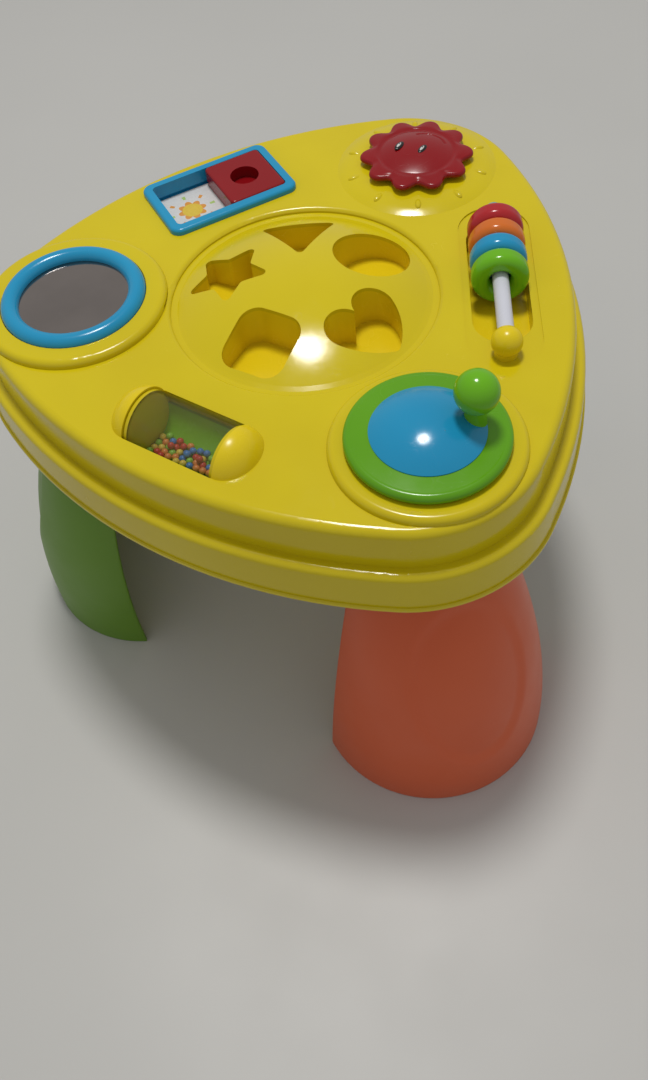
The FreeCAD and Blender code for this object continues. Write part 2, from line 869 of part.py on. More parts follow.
def drum_half(upper):
    """Half of the drum's tube: the clear one is above at rest."""
    half = drum_length / 2 - 2.0
    tube = along_drum(drum_radius, -half, half).cut(along_drum(drum_radius - drum_skin, -half - 1, half + 1))
    if upper:
        keep = box((-30, -40, drum_axis_height), (30, 40, 30))
    else:
        keep = box((-30, -40, -40), (30, 40, drum_axis_height))
    return drum_place(tube.common(keep))


def drum_end(side):
    """End disc with its pin."""
    half = drum_length / 2
    disc = along_drum(drum_radius, half - 2.0, half)
    pin = along_drum(drum_pin_radius, half, half + 3.2)
    shape = disc.fuse(pin)
    if side < 0:
        shape = shape.mirror(V(0, 0, 0), V(0, 1, 0))
    return drum_place(shape)


def drum_cradle():
    """Trough under the deck whose end walls carry the drum's pins."""
    t = 2.0
    half = drum_window_length / 2
    r = drum_radius + 1.4
    low = drum_axis_height - r
    outer = box((-r - t, -half - t, low - t), (r + t, half + t, -deck_thickness))
    inner = box((-r, -half, drum_axis_height), (r, half, 0)).fuse(along_drum(r, -half, half))
    bore = along_drum(drum_pin_radius + running_gap, -half - 10, half + 10)
    return drum_place(outer.cut([inner, bore]))


def drum_cheek(side):
    """Hollow half dome that closes one end of the window."""
    half = drum_window_length / 2
    outer = Part.makeSphere(1.0)
    stretch = FreeCAD.Matrix()
    stretch.scale(cheek_radius, cheek_length, cheek_radius)
    outer = outer.transformGeometry(stretch)
    outer.translate(V(0, half, drum_axis_height))
    keep = box((-40, half, 0), (40, half + 40, 40))
    inner = Part.makeSphere(1.0)
    stretch = FreeCAD.Matrix()
    stretch.scale(cheek_radius - 2, cheek_length - 2, cheek_radius - 2)
    inner = inner.transformGeometry(stretch)
    inner.translate(V(0, half, drum_axis_height))
    shell = outer.common(keep).cut(inner.common(box((-40, half + 2, -1), (40, half + 40, 40))))
    if side < 0:
        shell = shell.mirror(V(0, 0, 0), V(0, 1, 0))
    return drum_place(shell)


def faceted_bead(centre):
    """Small bead drawn as a regular solid of twenty triangles."""
    golden = (1 + math.sqrt(5)) / 2
    size = bead_radius / math.sqrt(1 + golden * golden)
    corners_of = []
    for a in (-1, 1):
        for b in (-golden, golden):
            corners_of.append(V(0, a, b))
            corners_of.append(V(a, b, 0))
            corners_of.append(V(b, 0, a))
    faces = []
    n = len(corners_of)
    for i in range(n):
        for j in range(i + 1, n):
            for k in range(j + 1, n):
                a, b, c = corners_of[i], corners_of[j], corners_of[k]
                longest = max(a.distanceToPoint(b), b.distanceToPoint(c), a.distanceToPoint(c))
                if longest < 2.01:
                    faces.append(polygon_face([centre.add(p * size) for p in (a, b, c)]))
    return Part.makeSolid(Part.makeShell(faces))


def bead_places():
    """Beads lie in two layers along the bottom of the drum."""
    places = []
    pitch = bead_radius * 2 + 0.25
    inside = drum_radius - drum_skin - 0.4
    first = drum_axis_height - inside + bead_radius
    half = drum_length / 2 - 2.0 - bead_radius - 0.4
    for layer, across in ((0, 4), (1, 3)):
        height = first + 0.9 + layer * pitch * 0.9
        count = int(2 * half / pitch)
        for i in range(count - layer * 2):
            for j in range(across):
                x = (j - (across - 1) / 2) * pitch
                lift = inside - bead_radius - math.sqrt(max((inside - bead_radius) ** 2 - x * x, 0))
                shift = pitch / 2 * (layer + (j % 2) * 0.5)
                y = -half + i * pitch + shift + layer * pitch
                if abs(y) < half:
                    places.append(V(x, y, height + lift * (1 - layer)))
    return places


def bead_group(index, groups):
    """Every bead of one colour."""
    shapes = [faceted_bead(p) for k, p in enumerate(bead_places()) if (k * 7 // 3) % groups == index]
    return drum_place(Part.makeCompound(shapes))


# Legs

def leg_wire(fraction, inset):
    """Section of a leg at a fraction of its height: a thick arc open towards the table's middle."""
    height = leg_top_height * fraction
    centre = foot_centre + (leg_top_centre - foot_centre) * fraction + leg_bow * 4 * fraction * (1 - fraction)
    radius = foot_radius + (leg_top_radius - foot_radius) * fraction + leg_swell * 4 * fraction * (1 - fraction)
    s = leg_spread
    outer = radius - inset
    inner = radius - leg_wall

    def at(r, angle):
        return V(centre, 0, height).add(polar(r, angle))

    edges = [
        Part.Arc(at(outer, -s), at(outer, 0), at(outer, s)).toShape(),
        Part.LineSegment(at(outer, s), at(inner, s)).toShape(),
        Part.Arc(at(inner, s), at(inner, 0), at(inner, -s)).toShape(),
        Part.LineSegment(at(inner, -s), at(outer, -s)).toShape(),
    ]
    return Part.Wire(edges)


def leg_shell(inset):
    steps = [k / (leg_sections - 1) for k in range(leg_sections)]
    return Part.makeLoft([leg_wire(f, inset) for f in steps], True, False)


def leg(direction):
    """Leg with a recessed oval on its face and a top plate that screws to the cover."""
    shell = leg_shell(0)
    oval = Part.Ellipse(V(0, 0, 0), leg_panel_half_height, leg_panel_half_width)
    face = Part.Face(Part.Wire(oval.toShape()))
    face.rotate(V(0, 0, 0), V(0, 1, 0), 90)
    face.translate(V(foot_centre, 0, leg_panel_height))
    window = face.extrude(V(120, 0, 0))
    skin = shell.cut(leg_shell(leg_panel_depth))
    shell = shell.cut(skin.common(window))
    r = leg_top_radius
    c = leg_top_centre
    top = leg_top_height
    plate = cylinder(r - 0.5, top - leg_top_plate, top, c)
    plate = plate.common(box((c - 3, -r, 0), (c + r, r, table_height)))
    inner, outer, half, rise = leg_tab
    tab = box((c + inner, -half, top), (c + outer, half, top + rise))
    body = shell.fuse([plate, tab])
    for y in (-leg_screw_aside, leg_screw_aside):
        body = body.cut(cylinder(screw_hole_radius, top - 5, top + 1, c + leg_screw_out, y))
    return turned_to(body, direction)


# Underside

def turned_to(shape, direction):
    """Turn a shape about the upright axis to one corner."""
    shape.rotate(V(0, 0, 0), V(0, 0, 1), direction)
    return shape


def speaker_grille(low, high):
    """Slots of a round grille, longest in the middle."""
    x, y = speaker_place
    half = speaker_slot_width / 2
    slots = []
    for k in range(speaker_slots):
        aside = (k - (speaker_slots - 1) / 2) * speaker_slot_pitch
        reach = math.sqrt(speaker_slot_reach ** 2 - aside ** 2)
        slots.append(box((x - reach, y + aside - half, low), (x + reach, y + aside + half, high)))
    return slots


def bottom_cover():
    """Closing plate with holes for the leg tabs, the speaker slots and the battery opening."""
    offset = skirt_step + skirt_flare - wall - cover_gap
    low = cover_low - 1
    high = cover_high + 1
    inner, outer, half = leg_tab[:3]
    g = leg_tab_gap
    cutters = speaker_grille(low, high)
    for corner in corners:
        near = leg_top_centre + inner - g
        far = leg_top_centre + outer + g
        cutters.append(turned_to(box((near, -half - g, low), (far, half + g, high)), corner))
        for y in (-leg_screw_aside, leg_screw_aside):
            hole = cylinder(screw_radius, low, high, leg_top_centre + leg_screw_out, y)
            cutters.append(turned_to(hole, corner))
    for place in cover_screw_places():
        cutters.append(cylinder(screw_hole_radius, low, high, place.x, place.y))
    reach_x = battery_half_x + 4
    reach_y = battery_half_y - 2
    cutters.append(box((battery_x - reach_x, -reach_y, low), (battery_x + reach_x, reach_y, high)))
    cutters.append(box((switch_x - 6, switch_y - 3, low), (switch_x + 6, switch_y + 3, high)))
    return plan_band(offset, cover_low, offset, cover_high).cut(cutters)


def cell_places():
    """Middles of the three cells across the box."""
    return [battery_x + k * (2 * cell_radius + cell_gap) for k in (-1, 0, 1)]


def cells():
    """Three round cells side by side, each with its raised end."""
    height = cover_high + cell_radius + 0.2
    shapes = []
    for x in cell_places():
        body = Part.makeCylinder(cell_radius, cell_length - 1, V(x, -cell_length / 2, height), V(0, 1, 0))
        nub = Part.makeCylinder(2.6, 1.0, V(x, cell_length / 2 - 1, height), V(0, 1, 0))
        shapes.append(body.fuse(nub))
    return Part.makeCompound(shapes)


def battery_box():
    """Open-bottomed tub on the cover that holds the cells."""
    x = battery_half_x
    y = battery_half_y
    w = battery_wall
    inner_y = y - battery_end_wall
    outer = box((battery_x - x, -y, cover_high), (battery_x + x, y, cover_high + battery_height))
    top = cover_high + battery_height - w
    inner = box((battery_x - x + w, -inner_y, cover_high - 1), (battery_x + x - w, inner_y, top))
    return outer.cut(inner)


def battery_contacts():
    """Flat spring strips at both ends of the cells."""
    end = battery_half_y - battery_end_wall
    strip = 1.1
    touch = cell_length / 2
    shapes = []
    for x in cell_places():
        for side in (1, -1):
            reach = sorted((side * (end - strip), side * end))
            shapes.append(box((x - 4, reach[0], cover_high + 2), (x + 4, reach[1], cover_high + 13)))
            reach = sorted((side * touch, side * (end - strip)))
            shapes.append(box((x - 2.5, reach[0], cover_high + 6), (x + 2.5, reach[1], cover_high + 8.5)))
    return fused(shapes)


def battery_door():
    """Flush door under the cells, with two ribs that steady them."""
    x = battery_half_x + door_margin
    y = battery_half_y - 2.3
    top = cover_low + 2.0
    door = box((battery_x - x, -y, cover_low), (battery_x + x, y, top))
    ribs = []
    for side in (-1, 1):
        middle = side * cell_length / 2
        ribs.append(box((battery_x - 24, middle - 1, top), (battery_x + 24, middle + 1, top + 1)))
    hole = cylinder(screw_hole_radius, cover_low - 1, top + 2, door_screw_x)
    return door.fuse(ribs).cut(hole)


def screw(x, y, head_top, length):
    """Pan-head screw driven upwards."""
    head = cylinder(screw_head_radius, head_top - screw_head_height, head_top, x, y)
    shank = cylinder(screw_radius, head_top, head_top + length, x, y)
    return head.fuse(shank)


def cover_screws():
    return Part.makeCompound([screw(p.x, p.y, cover_low, 14) for p in cover_screw_places()])


def leg_screws():
    """Two screws from inside each leg into the cover."""
    shapes = []
    for corner in corners:
        for y in (-leg_screw_aside, leg_screw_aside):
            one = screw(leg_top_centre + leg_screw_out, y, leg_top_height - leg_top_plate, 6)
            shapes.append(turned_to(one, corner))
    return Part.makeCompound(shapes)


def speaker():
    """Round loudspeaker over the slots: rim, cone basket and magnet."""
    low = cover_high + 0.2
    edges = profile([
        (0, low), (25, low), (25, low + 2.8), (22, low + 2.8), (13, low + 9.8), (13, low + 14.8), (0, low + 14.8),
    ])
    shape = turned(edges)
    shape.translate(V(speaker_place[0], speaker_place[1], 0))
    return shape


def circuit_board():
    low = cover_high + board_stand
    return box((board_x[0], board_y[0], low), (board_x[1], board_y[1], low + board_thickness))


def board_posts():
    """Four round posts that stand on the cover under the board's corners."""
    posts = []
    for x in (board_x[0] + 3, board_x[1] - 3):
        for y in (board_y[0] + 3, board_y[1] - 3):
            posts.append(cylinder(2.5, cover_high, cover_high + board_stand, x, y))
    return Part.makeCompound(posts)


def board_parts():
    """Chip under its round coat, and a capacitor."""
    level = cover_high + board_stand + board_thickness
    chip = cylinder(5.0, level, level + 1.6, board_x[0] + 18, board_y[0] + 20)
    can = cylinder(3.0, level, level + 8, board_x[1] - 10, board_y[0] + 23)
    return Part.makeCompound([chip, can])


def switch_body():
    """Case of the slide switch, fixed over the slot in the cover."""
    top = cover_high + 5.8
    outer = box((switch_x - 8, switch_y - 5, cover_high), (switch_x + 8, switch_y + 5, top))
    inner = box((switch_x - 6.2, switch_y - 3.2, cover_high - 1), (switch_x + 6.2, switch_y + 3.2, top - 1.8))
    return outer.cut(inner)


def power_switch():
    """Slide knob in its slot in the cover, at the off end."""
    x = switch_x - switch_travel / 2 + 0.1
    return box((x - 2.7, switch_y - 2.4, cover_low - 1.2), (x + 2.7, switch_y + 2.4, cover_high + 3.0))


def all_pieces():
    """Every piece by node name."""
    pieces = {
        "top_shell": top_shell(),
        "sorting_dome": sorting_dome(),
        "bottom_cover": bottom_cover(),
        "leg_front_right": leg(crank_corner),
        "leg_left": leg(mirror_corner),
        "leg_back": leg(sun_corner),
        "mirror_frame": mirror_frame(),
        "mirror_plate": mirror_plate(),
        "sun_button": sun_button().cut(sun_eyes()),
        "sun_eyes": sun_eyes(),
        "button_spring": button_spring(),
        "sun_switch": sun_switch(),
        "crank_contact": crank_contact(),
        "slider_frame": slider_frame(),
        "picture_card": picture_card(),
        "slider_block": slider_block(),
        "abacus_tray": abacus_tray(),
        "abacus_rod": abacus_rod(),
        "rod_end_near": rod_end(near_ball_along, near_ball_radius, 7.0),
        "rod_end_far": rod_end(far_ball_along, far_ball_radius, 5.0),
        "drum_clear_half": drum_half(True),
        "drum_green_half": drum_half(False),
        "drum_end_left": drum_end(-1),
        "drum_end_right": drum_end(1),
        "drum_cradle": drum_cradle(),
        "drum_cheek_left": drum_cheek(-1),
        "drum_cheek_right": drum_cheek(1),
        "battery_box": battery_box(),
        "battery_cells": cells(),
        "battery_contacts": battery_contacts(),
        "battery_door": battery_door(),
        "cover_screws": cover_screws(),
        "door_screw": screw(door_screw_x, 0, cover_low, 0.5),
        "leg_screws": leg_screws(),
        "speaker": speaker(),
        "circuit_board": circuit_board(),
        "board_posts": board_posts(),
        "board_parts": board_parts(),
        "switch_body": switch_body(),
        "power_switch": power_switch(),
    }
    pieces.update(well_cups())
    pieces.update(crank_pieces())
    for index, colour in enumerate(("red", "orange", "blue", "green")):
        pieces["ring_" + colour] = counting_ring(index)
    bead_colours = ("red", "orange", "yellow", "green", "blue")
    for index, colour in enumerate(bead_colours):
        pieces["beads_" + colour] = bead_group(index, len(bead_colours))
    return pieces


def export_all():
    os.makedirs("parts", exist_ok=True)
    for name, shape in all_pieces().items():
        shape = shape.copy()
        shape.translate(V(0, floor_to_axis_shift, 0))
        shape.exportStep("parts/" + name + ".step")


export_all()
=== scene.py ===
"""Looks of the musical activity table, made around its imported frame.

Every solid gets its finish here. The dished legs, the sun and its eyes, the card's print, the heaped beads,
the wound spring, the floor, the light and the camera are this script's own.
"""
import bmesh
import bpy
import math
import random
from mathutils import Matrix, Vector


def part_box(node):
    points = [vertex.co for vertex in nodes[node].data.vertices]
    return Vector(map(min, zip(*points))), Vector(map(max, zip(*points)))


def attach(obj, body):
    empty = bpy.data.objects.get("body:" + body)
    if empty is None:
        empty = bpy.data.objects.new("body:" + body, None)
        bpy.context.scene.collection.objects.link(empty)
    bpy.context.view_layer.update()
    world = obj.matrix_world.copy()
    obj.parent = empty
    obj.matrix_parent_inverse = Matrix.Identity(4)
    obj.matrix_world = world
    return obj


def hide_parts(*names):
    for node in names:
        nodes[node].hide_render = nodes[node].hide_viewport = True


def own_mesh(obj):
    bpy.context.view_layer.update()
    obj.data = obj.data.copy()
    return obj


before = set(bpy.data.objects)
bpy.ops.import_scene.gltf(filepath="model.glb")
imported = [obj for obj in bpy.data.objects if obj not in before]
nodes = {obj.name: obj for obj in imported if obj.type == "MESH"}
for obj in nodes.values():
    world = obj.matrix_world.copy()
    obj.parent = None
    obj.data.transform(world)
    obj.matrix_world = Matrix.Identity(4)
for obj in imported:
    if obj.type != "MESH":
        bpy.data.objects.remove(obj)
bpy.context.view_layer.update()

# The deck is one large glossy yellow moulding, with the skirt, the toy pads and the screw posts in it.
# The sorting dome and the drum's cradle are the same plastic. The five wells, the ring trough, the near ball
# of the rod and the drum's cheeks have a lighter copy of that yellow: painted light, for the light bounced
# inside the wells. Every joint between them shows only as a fine line.
DECK_YELLOW = (0.640, 0.515, 0.006)
DECK_YELLOW_DEEP = (0.600, 0.475, 0.005)
# Lighter copy of the deck yellow: painted light standing in for the light bounced inside the wells and the
# trough.
WELL_YELLOW_PAINTED_LIGHT = (0.770, 0.590, 0.008)
WELL_YELLOW_DEEP_PAINTED_LIGHT = (0.730, 0.550, 0.006)
PIGMENT_STOPS = (0.32, 0.68)
PIGMENT_PATCHES = 13.0
SMEAR_PATCHES = 38.0
SMEAR_START = 0.35
SMEAR_END = 0.70
SMEAR_DULLNESS = 0.09
HAIRLINE_PATCHES = 60.0
HAIRLINE_TWIST = 1.6
HAIRLINE_WIDTH = 0.006
HAIRLINE_DULLNESS = 0.10
RIPPLE_PATCHES = 75.0
RIPPLE_DEPTH = 0.00007
GLOSSY_IOR = 1.5
GLOSSY_SPECULAR = 0.38


def new_finish(name):
    """A material's node tree, its shader and the place of a point on the piece."""
    material = bpy.data.materials.new(name)
    material.use_nodes = True
    tree = material.node_tree
    place = tree.nodes.new("ShaderNodeTexCoord").outputs["Object"]
    return tree, tree.nodes["Principled BSDF"], place


def mottle(tree, place, scale, detail=2.0, twist=0.0):
    """Soft cloudy pattern; the scale is in patches per metre."""
    cloud = tree.nodes.new("ShaderNodeTexNoise")
    cloud.inputs["Scale"].default_value = scale
    cloud.inputs["Detail"].default_value = detail
    cloud.inputs["Distortion"].default_value = twist
    tree.links.new(place, cloud.inputs["Vector"])
    return cloud.outputs["Fac"]


def eased(tree, value, start, end, low, high):
    """A pattern's values between start and end, brought to low and high."""
    change = tree.nodes.new("ShaderNodeMapRange")
    change.inputs["From Min"].default_value = start
    change.inputs["From Max"].default_value = end
    change.inputs["To Min"].default_value = low
    change.inputs["To Max"].default_value = high
    tree.links.new(value, change.inputs["Value"])
    return change.outputs["Result"]


def tinted(tree, value, *stops):
    """Colour along a pattern's values; each stop is a position and a colour."""
    ramp = tree.nodes.new("ShaderNodeValToRGB")
    marks = ramp.color_ramp.elements
    while len(marks) < len(stops):
        marks.new(0.5)
    for mark, (position, colour) in zip(marks, stops):
        mark.position = position
        mark.color = (*colour, 1.0)
    tree.links.new(value, ramp.inputs["Fac"])
    return ramp.outputs["Color"]


def calculated(tree, operation, *values):
    """One step of arithmetic on patterns and numbers."""
    step = tree.nodes.new("ShaderNodeMath")
    step.operation = operation
    for socket, value in zip(step.inputs, values):
        if isinstance(value, (int, float)):
            socket.default_value = value
        else:
            tree.links.new(value, socket)
    return step.outputs["Value"]


def hairlines(tree, place):
    """Thin wandering scratches, 1 on a scratch and 0 between them."""
    wander = mottle(tree, place, HAIRLINE_PATCHES, 1.0, HAIRLINE_TWIST)
    distance = calculated(tree, "ABSOLUTE", calculated(tree, "SUBTRACT", wander, 0.5))
    return eased(tree, distance, 0.0, HAIRLINE_WIDTH, 1.0, 0.0)


def raised(tree, shader, height, depth):
    """Relief in the surface, its full depth in metres."""
    bump = tree.nodes.new("ShaderNodeBump")
    bump.inputs["Distance"].default_value = depth
    tree.links.new(height, bump.inputs["Height"])
    tree.links.new(bump.outputs["Normal"], shader.inputs["Normal"])


def pigmented(tree, place, patches, colour, deep):
    """Pigment that wanders a little between a deeper and a lighter colour."""
    deep_stop, light_stop = PIGMENT_STOPS
    return tinted(tree, mottle(tree, place, patches, 3.0), (deep_stop, deep), (light_stop, colour))


def smeared(tree, pattern, dullness, added):
    """Roughness that rises where a pattern of finger smears or rubbing is strong."""
    return eased(tree, pattern, SMEAR_START, SMEAR_END, dullness, dullness + added)


def glossy_moulding(name, colour, deep, dullness):
    """Polished mould: pigment that wanders a little, a slow ripple, finger smears and fine scratches."""
    tree, shader, place = new_finish(name)
    tree.links.new(pigmented(tree, place, PIGMENT_PATCHES, colour, deep), shader.inputs["Base Color"])
    smears = smeared(tree, mottle(tree, place, SMEAR_PATCHES, 5.0), dullness, SMEAR_DULLNESS)
    scratched = calculated(tree, "MULTIPLY", hairlines(tree, place), HAIRLINE_DULLNESS)
    tree.links.new(calculated(tree, "ADD", smears, scratched), shader.inputs["Roughness"])
    raised(tree, shader, mottle(tree, place, RIPPLE_PATCHES), RIPPLE_DEPTH)
    shader.inputs["IOR"].default_value = GLOSSY_IOR
    shader.inputs["Specular IOR Level"].default_value = GLOSSY_SPECULAR
    return bpy.data.materials[name]


def wear_finish(material, *names):
    """Give CAD pieces a finish in place of the plain one that they come with."""
    for name in names:
        for slot in nodes[name].material_slots:
            slot.material = material


deck_plastic = glossy_moulding("deck_plastic", DECK_YELLOW, DECK_YELLOW_DEEP, 0.13)
wear_finish(deck_plastic, "top_shell", "sorting_dome", "drum_cradle")
# The well finish is the deck yellow made lighter: painted light for the bounce inside the wells, the trough
# and the cheeks.
well_plastic = glossy_moulding("well_plastic", WELL_YELLOW_PAINTED_LIGHT, WELL_YELLOW_DEEP_PAINTED_LIGHT, 0.20)
wear_finish(well_plastic, "well_square", "well_heart", "well_circle", "well_triangle", "well_star")
wear_finish(well_plastic, "abacus_tray", "rod_end_near", "drum_cheek_left", "drum_cheek_right")

# The closing plate, the battery door, the battery box and the board posts are seen only from below.
# They are the same yellow plastic with the dull, finely grained skin that hidden faces are given.
# Screws hold the plate up against the deck's posts.
SATIN_PIGMENT_PATCHES = 9.0
RUB_PATCHES = 26.0
RUB_DULLNESS = 0.10
GRAIN_PATCHES = 1500.0
PLATE_GRAIN = 0.00003
SATIN_IOR = 1.48


def grained_moulding(name, colour, deep, dullness, grain):
    """Satin moulding: the pigment wanders a little and the mould's grain scatters the light."""
    tree, shader, place = new_finish(name)
    tree.links.new(pigmented(tree, place, SATIN_PIGMENT_PATCHES, colour, deep), shader.inputs["Base Color"])
    rubbed = smeared(tree, mottle(tree, place, RUB_PATCHES, 5.0), dullness, RUB_DULLNESS)
    tree.links.new(rubbed, shader.inputs["Roughness"])
    raised(tree, shader, mottle(tree, place, GRAIN_PATCHES), grain)
    shader.inputs["IOR"].default_value = SATIN_IOR
    return bpy.data.materials[name]


under_plastic = grained_moulding("under_plastic", DECK_YELLOW, DECK_YELLOW_DEEP, 0.40, PLATE_GRAIN)
wear_finish(under_plastic, "bottom_cover", "battery_door", "battery_box", "board_posts")

# Three legs, each a bowed half shell of satin plastic, open towards the middle and dished outside.
# A tab at the top goes through the closing plate and two screws hold it.
# Each leg has its own colour: orange under the crank, green under the mirror and blue under the sun.
AXIS_Y = -0.028
LEG_HEIGHT = 0.2204
LEG_SPREAD = math.radians(93.0)
LEG_WALL = 0.003
LEG_PLATE = 0.003
FOOT_CENTRE = 0.1474
FOOT_RADIUS = 0.0796
LEG_TOP_CENTRE = 0.129
LEG_TOP_RADIUS = 0.036
LEG_BOW = 0.008
LEG_SWELL = 0.009
DISH_HEIGHT = 0.113
DISH_ASIDE = -0.006
DISH_HALF_HEIGHT = 0.066
DISH_HALF_WIDTH = 0.037
DISH_DEPTH = 0.0022
DISH_BORDER = 0.09
LEG_STEPS_AROUND = 96
LEG_STEPS_UP = 100
LEG_PLATE_STEPS = 32
LEG_GRAIN = 0.000012
LEG_EDGE_ROUND = 0.0007
LEG_EDGE_STEPS = 2
LEG_EDGE_ANGLE = math.radians(50.0)
LEG_COLOURS = {
    "leg_front_right": (330.0, "leg_orange", (0.660, 0.108, 0.028), (0.620, 0.095, 0.023)),
    "leg_left": (210.0, "leg_green", (0.118, 0.258, 0.010), (0.106, 0.236, 0.008)),
    "leg_back": (90.0, "leg_blue", (0.040, 0.290, 0.500), (0.034, 0.265, 0.465)),
}


def add_piece(name, mesh_maker, finish, body):
    """Make a piece from a bmesh and let it ride on a body."""
    mesh = bpy.data.meshes.new(name)
    mesh_maker.to_mesh(mesh)
    mesh_maker.free()
    for face in mesh.polygons:
        face.use_smooth = True
    mesh.materials.append(finish)
    piece = bpy.data.objects.new(name, mesh)
    bpy.context.scene.collection.objects.link(piece)
    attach(piece, body)
    return piece


def skin(maker, first, second, closed=False):
    """Strip of faces between two rows of points; closed rows are joined all the way round."""
    for k in range(len(first) if closed else len(first) - 1):
        following = (k + 1) % len(first)
        maker.faces.new((first[k], first[following], second[following], second[k]))


def dish_at(aside, height):
    """Depth of the oval dish at a point of the leg's face, with a soft border."""
    oval = math.hypot((aside - DISH_ASIDE) / DISH_HALF_WIDTH, (height - DISH_HEIGHT) / DISH_HALF_HEIGHT)
    border = max(0.0, min(1.0, (1.0 + DISH_BORDER - oval) / (2 * DISH_BORDER)))
    return DISH_DEPTH * border * border * (3 - 2 * border)


def leg_surface(maker, where, inside):
    """Grid of points over the outer or the inner face of a leg, from the floor up."""
    rows = []
    for level in range(LEG_STEPS_UP + 1):
        share = level / LEG_STEPS_UP
        bend = 4 * share * (1 - share)
        centre = FOOT_CENTRE + (LEG_TOP_CENTRE - FOOT_CENTRE) * share + LEG_BOW * bend
        radius = FOOT_RADIUS + (LEG_TOP_RADIUS - FOOT_RADIUS) * share + LEG_SWELL * bend
        height = LEG_HEIGHT * share
        row = []
        for k in range(LEG_STEPS_AROUND + 1):
            angle = LEG_SPREAD * (2 * k / LEG_STEPS_AROUND - 1)
            reach = radius
            if inside:
                reach = radius - LEG_WALL
            elif math.cos(angle) > 0:
                reach = radius - dish_at(radius * math.sin(angle), height)
            point = Vector((centre + reach * math.cos(angle), reach * math.sin(angle), height))
            row.append(maker.verts.new(where @ point))
        rows.append(row)
    return rows


def leg_shell(direction):
    """Outer face, inner face, the four narrow edges between them and the plate at the top."""
    maker = bmesh.new()
    where = Matrix.Translation((0.0, AXIS_Y, 0.0)) @ Matrix.Rotation(math.radians(direction), 4, "Z")
    outer = leg_surface(maker, where, False)
    inner = leg_surface(maker, where, True)
    for level in range(LEG_STEPS_UP):
        skin(maker, outer[level], outer[level + 1])
        skin(maker, inner[level + 1], inner[level])
    skin(maker, [row[0] for row in outer], [row[0] for row in inner])
    skin(maker, [row[-1] for row in inner], [row[-1] for row in outer])
    skin(maker, inner[0], outer[0])
    skin(maker, outer[-1], inner[-1])
    reach = LEG_TOP_RADIUS - LEG_WALL
    rim = []
    for k in range(LEG_PLATE_STEPS + 1):
        angle = math.pi * (k / LEG_PLATE_STEPS - 0.5)
        rim.append((LEG_TOP_CENTRE + reach * math.cos(angle), reach * math.sin(angle)))
    low = [maker.verts.new(where @ Vector((x, y, LEG_HEIGHT - LEG_PLATE))) for x, y in rim]
    high = [maker.verts.new(where @ Vector((x, y, LEG_HEIGHT))) for x, y in rim]
    maker.faces.new(list(reversed(low)))
    maker.faces.new(high)
    skin(maker, low, high, closed=True)
    return maker


for leg_name, (direction, slot_name, colour, deep) in LEG_COLOURS.items():
    leg_plastic = grained_moulding(leg_name + "_plastic", colour, deep, 0.36, LEG_GRAIN)
    leg = add_piece("dished_" + leg_name, leg_shell(direction), leg_plastic, "table")
    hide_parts(leg_name)
    softened = leg.modifiers.new("edges", "BEVEL")
    softened.width = LEG_EDGE_ROUND
    softened.segments = LEG_EDGE_STEPS
    softened.limit_method = "ANGLE"
    softened.angle_limit = LEG_EDGE_ANGLE

# Fat ring in glossy blue plastic, snapped into its pad, over a round safety mirror.
# The mirror is a metallised plastic sheet: it reflects softly, waves a little and is hazed by wiping.
# The frame of the slider is moulded in the same blue.
TOY_BLUE = (0.016, 0.290, 0.520)
TOY_BLUE_DEEP = (0.012, 0.262, 0.485)
MIRROR_TONE = (0.340, 0.300, 0.280)
MIRROR_HAZE = (0.300, 0.265, 0.247)
HAZE_PATCHES = 34.0
WAVE_PATCHES = 16.0
WAVE_DEPTH = 0.00012
blue_plastic = glossy_moulding("blue_plastic_gloss", TOY_BLUE, TOY_BLUE_DEEP, 0.14)
wear_finish(blue_plastic, "mirror_frame", "slider_frame")
tree, shader, place = new_finish("mirror_sheet_finish")
haze = mottle(tree, place, HAZE_PATCHES, 6.0)
mirror_colour = tinted(tree, haze, (SMEAR_START, MIRROR_TONE), (SMEAR_END, MIRROR_HAZE))
tree.links.new(mirror_colour, shader.inputs["Base Color"])
wiped = calculated(tree, "ADD", eased(tree, haze, SMEAR_START, SMEAR_END, 0.07, 0.15),
                   calculated(tree, "MULTIPLY", hairlines(tree, place), 0.12))
tree.links.new(wiped, shader.inputs["Roughness"])
raised(tree, shader, mottle(tree, place, WAVE_PATCHES), WAVE_DEPTH)
shader.inputs["Metallic"].default_value = 1.0
wear_finish(bpy.data.materials["mirror_sheet_finish"], "mirror_plate")

# The sun is a red push button with ten soft petals and a round face, on a coil spring.
# Its eyes are oval pads set into the face: a black rim, a white oval and a dark pupil.
# The block of the slider is moulded in the same red.
SUN_RED = (0.262, 0.004, 0.007)
SUN_RED_DEEP = (0.232, 0.003, 0.006)
DECK_TOP = 0.2736
CORNER_TOY_RADIUS = 0.140
SUN_CREST = 0.015
EYES = ((-0.0040, 0.0106), (-0.0006, -0.0046))
EYE_PAD_HEIGHT = 0.0012
EYE_SINK = 0.0006
WHITE_HALF_LENGTH = 0.0030
WHITE_HALF_WIDTH = 0.0011
WHITE_INWARDS = 0.0003
WHITE_PROUD = 0.0002
PUPIL_HALF_LENGTH = 0.0010
PUPIL_HALF_WIDTH = 0.0007
PUPIL_OUTWARDS = 0.0004
PUPIL_PROUD = 0.00012
PAD_STEPS = 28
PAD_SECTION = ((0.0, 1.0), (0.45, 0.98), (0.8, 0.82), (0.95, 0.55), (1.0, 0.25))
FACE_RADIUS = 0.0240
FACE_RISE = 0.0046
GROOVE_LIP = 0.0008
GROOVE_WIDTH = 0.0014
GROOVE_SECTION = ((-GROOVE_LIP, 0.00025), (0.0003, 0.0001), (GROOVE_WIDTH, 0.0004))
PETAL_FOOT_SHARE = 0.15
PETAL_FOOT_RISE = 0.0007
PETAL_CREST = 0.0116
PETAL_SHARES = (0.35, 0.55, 0.72)
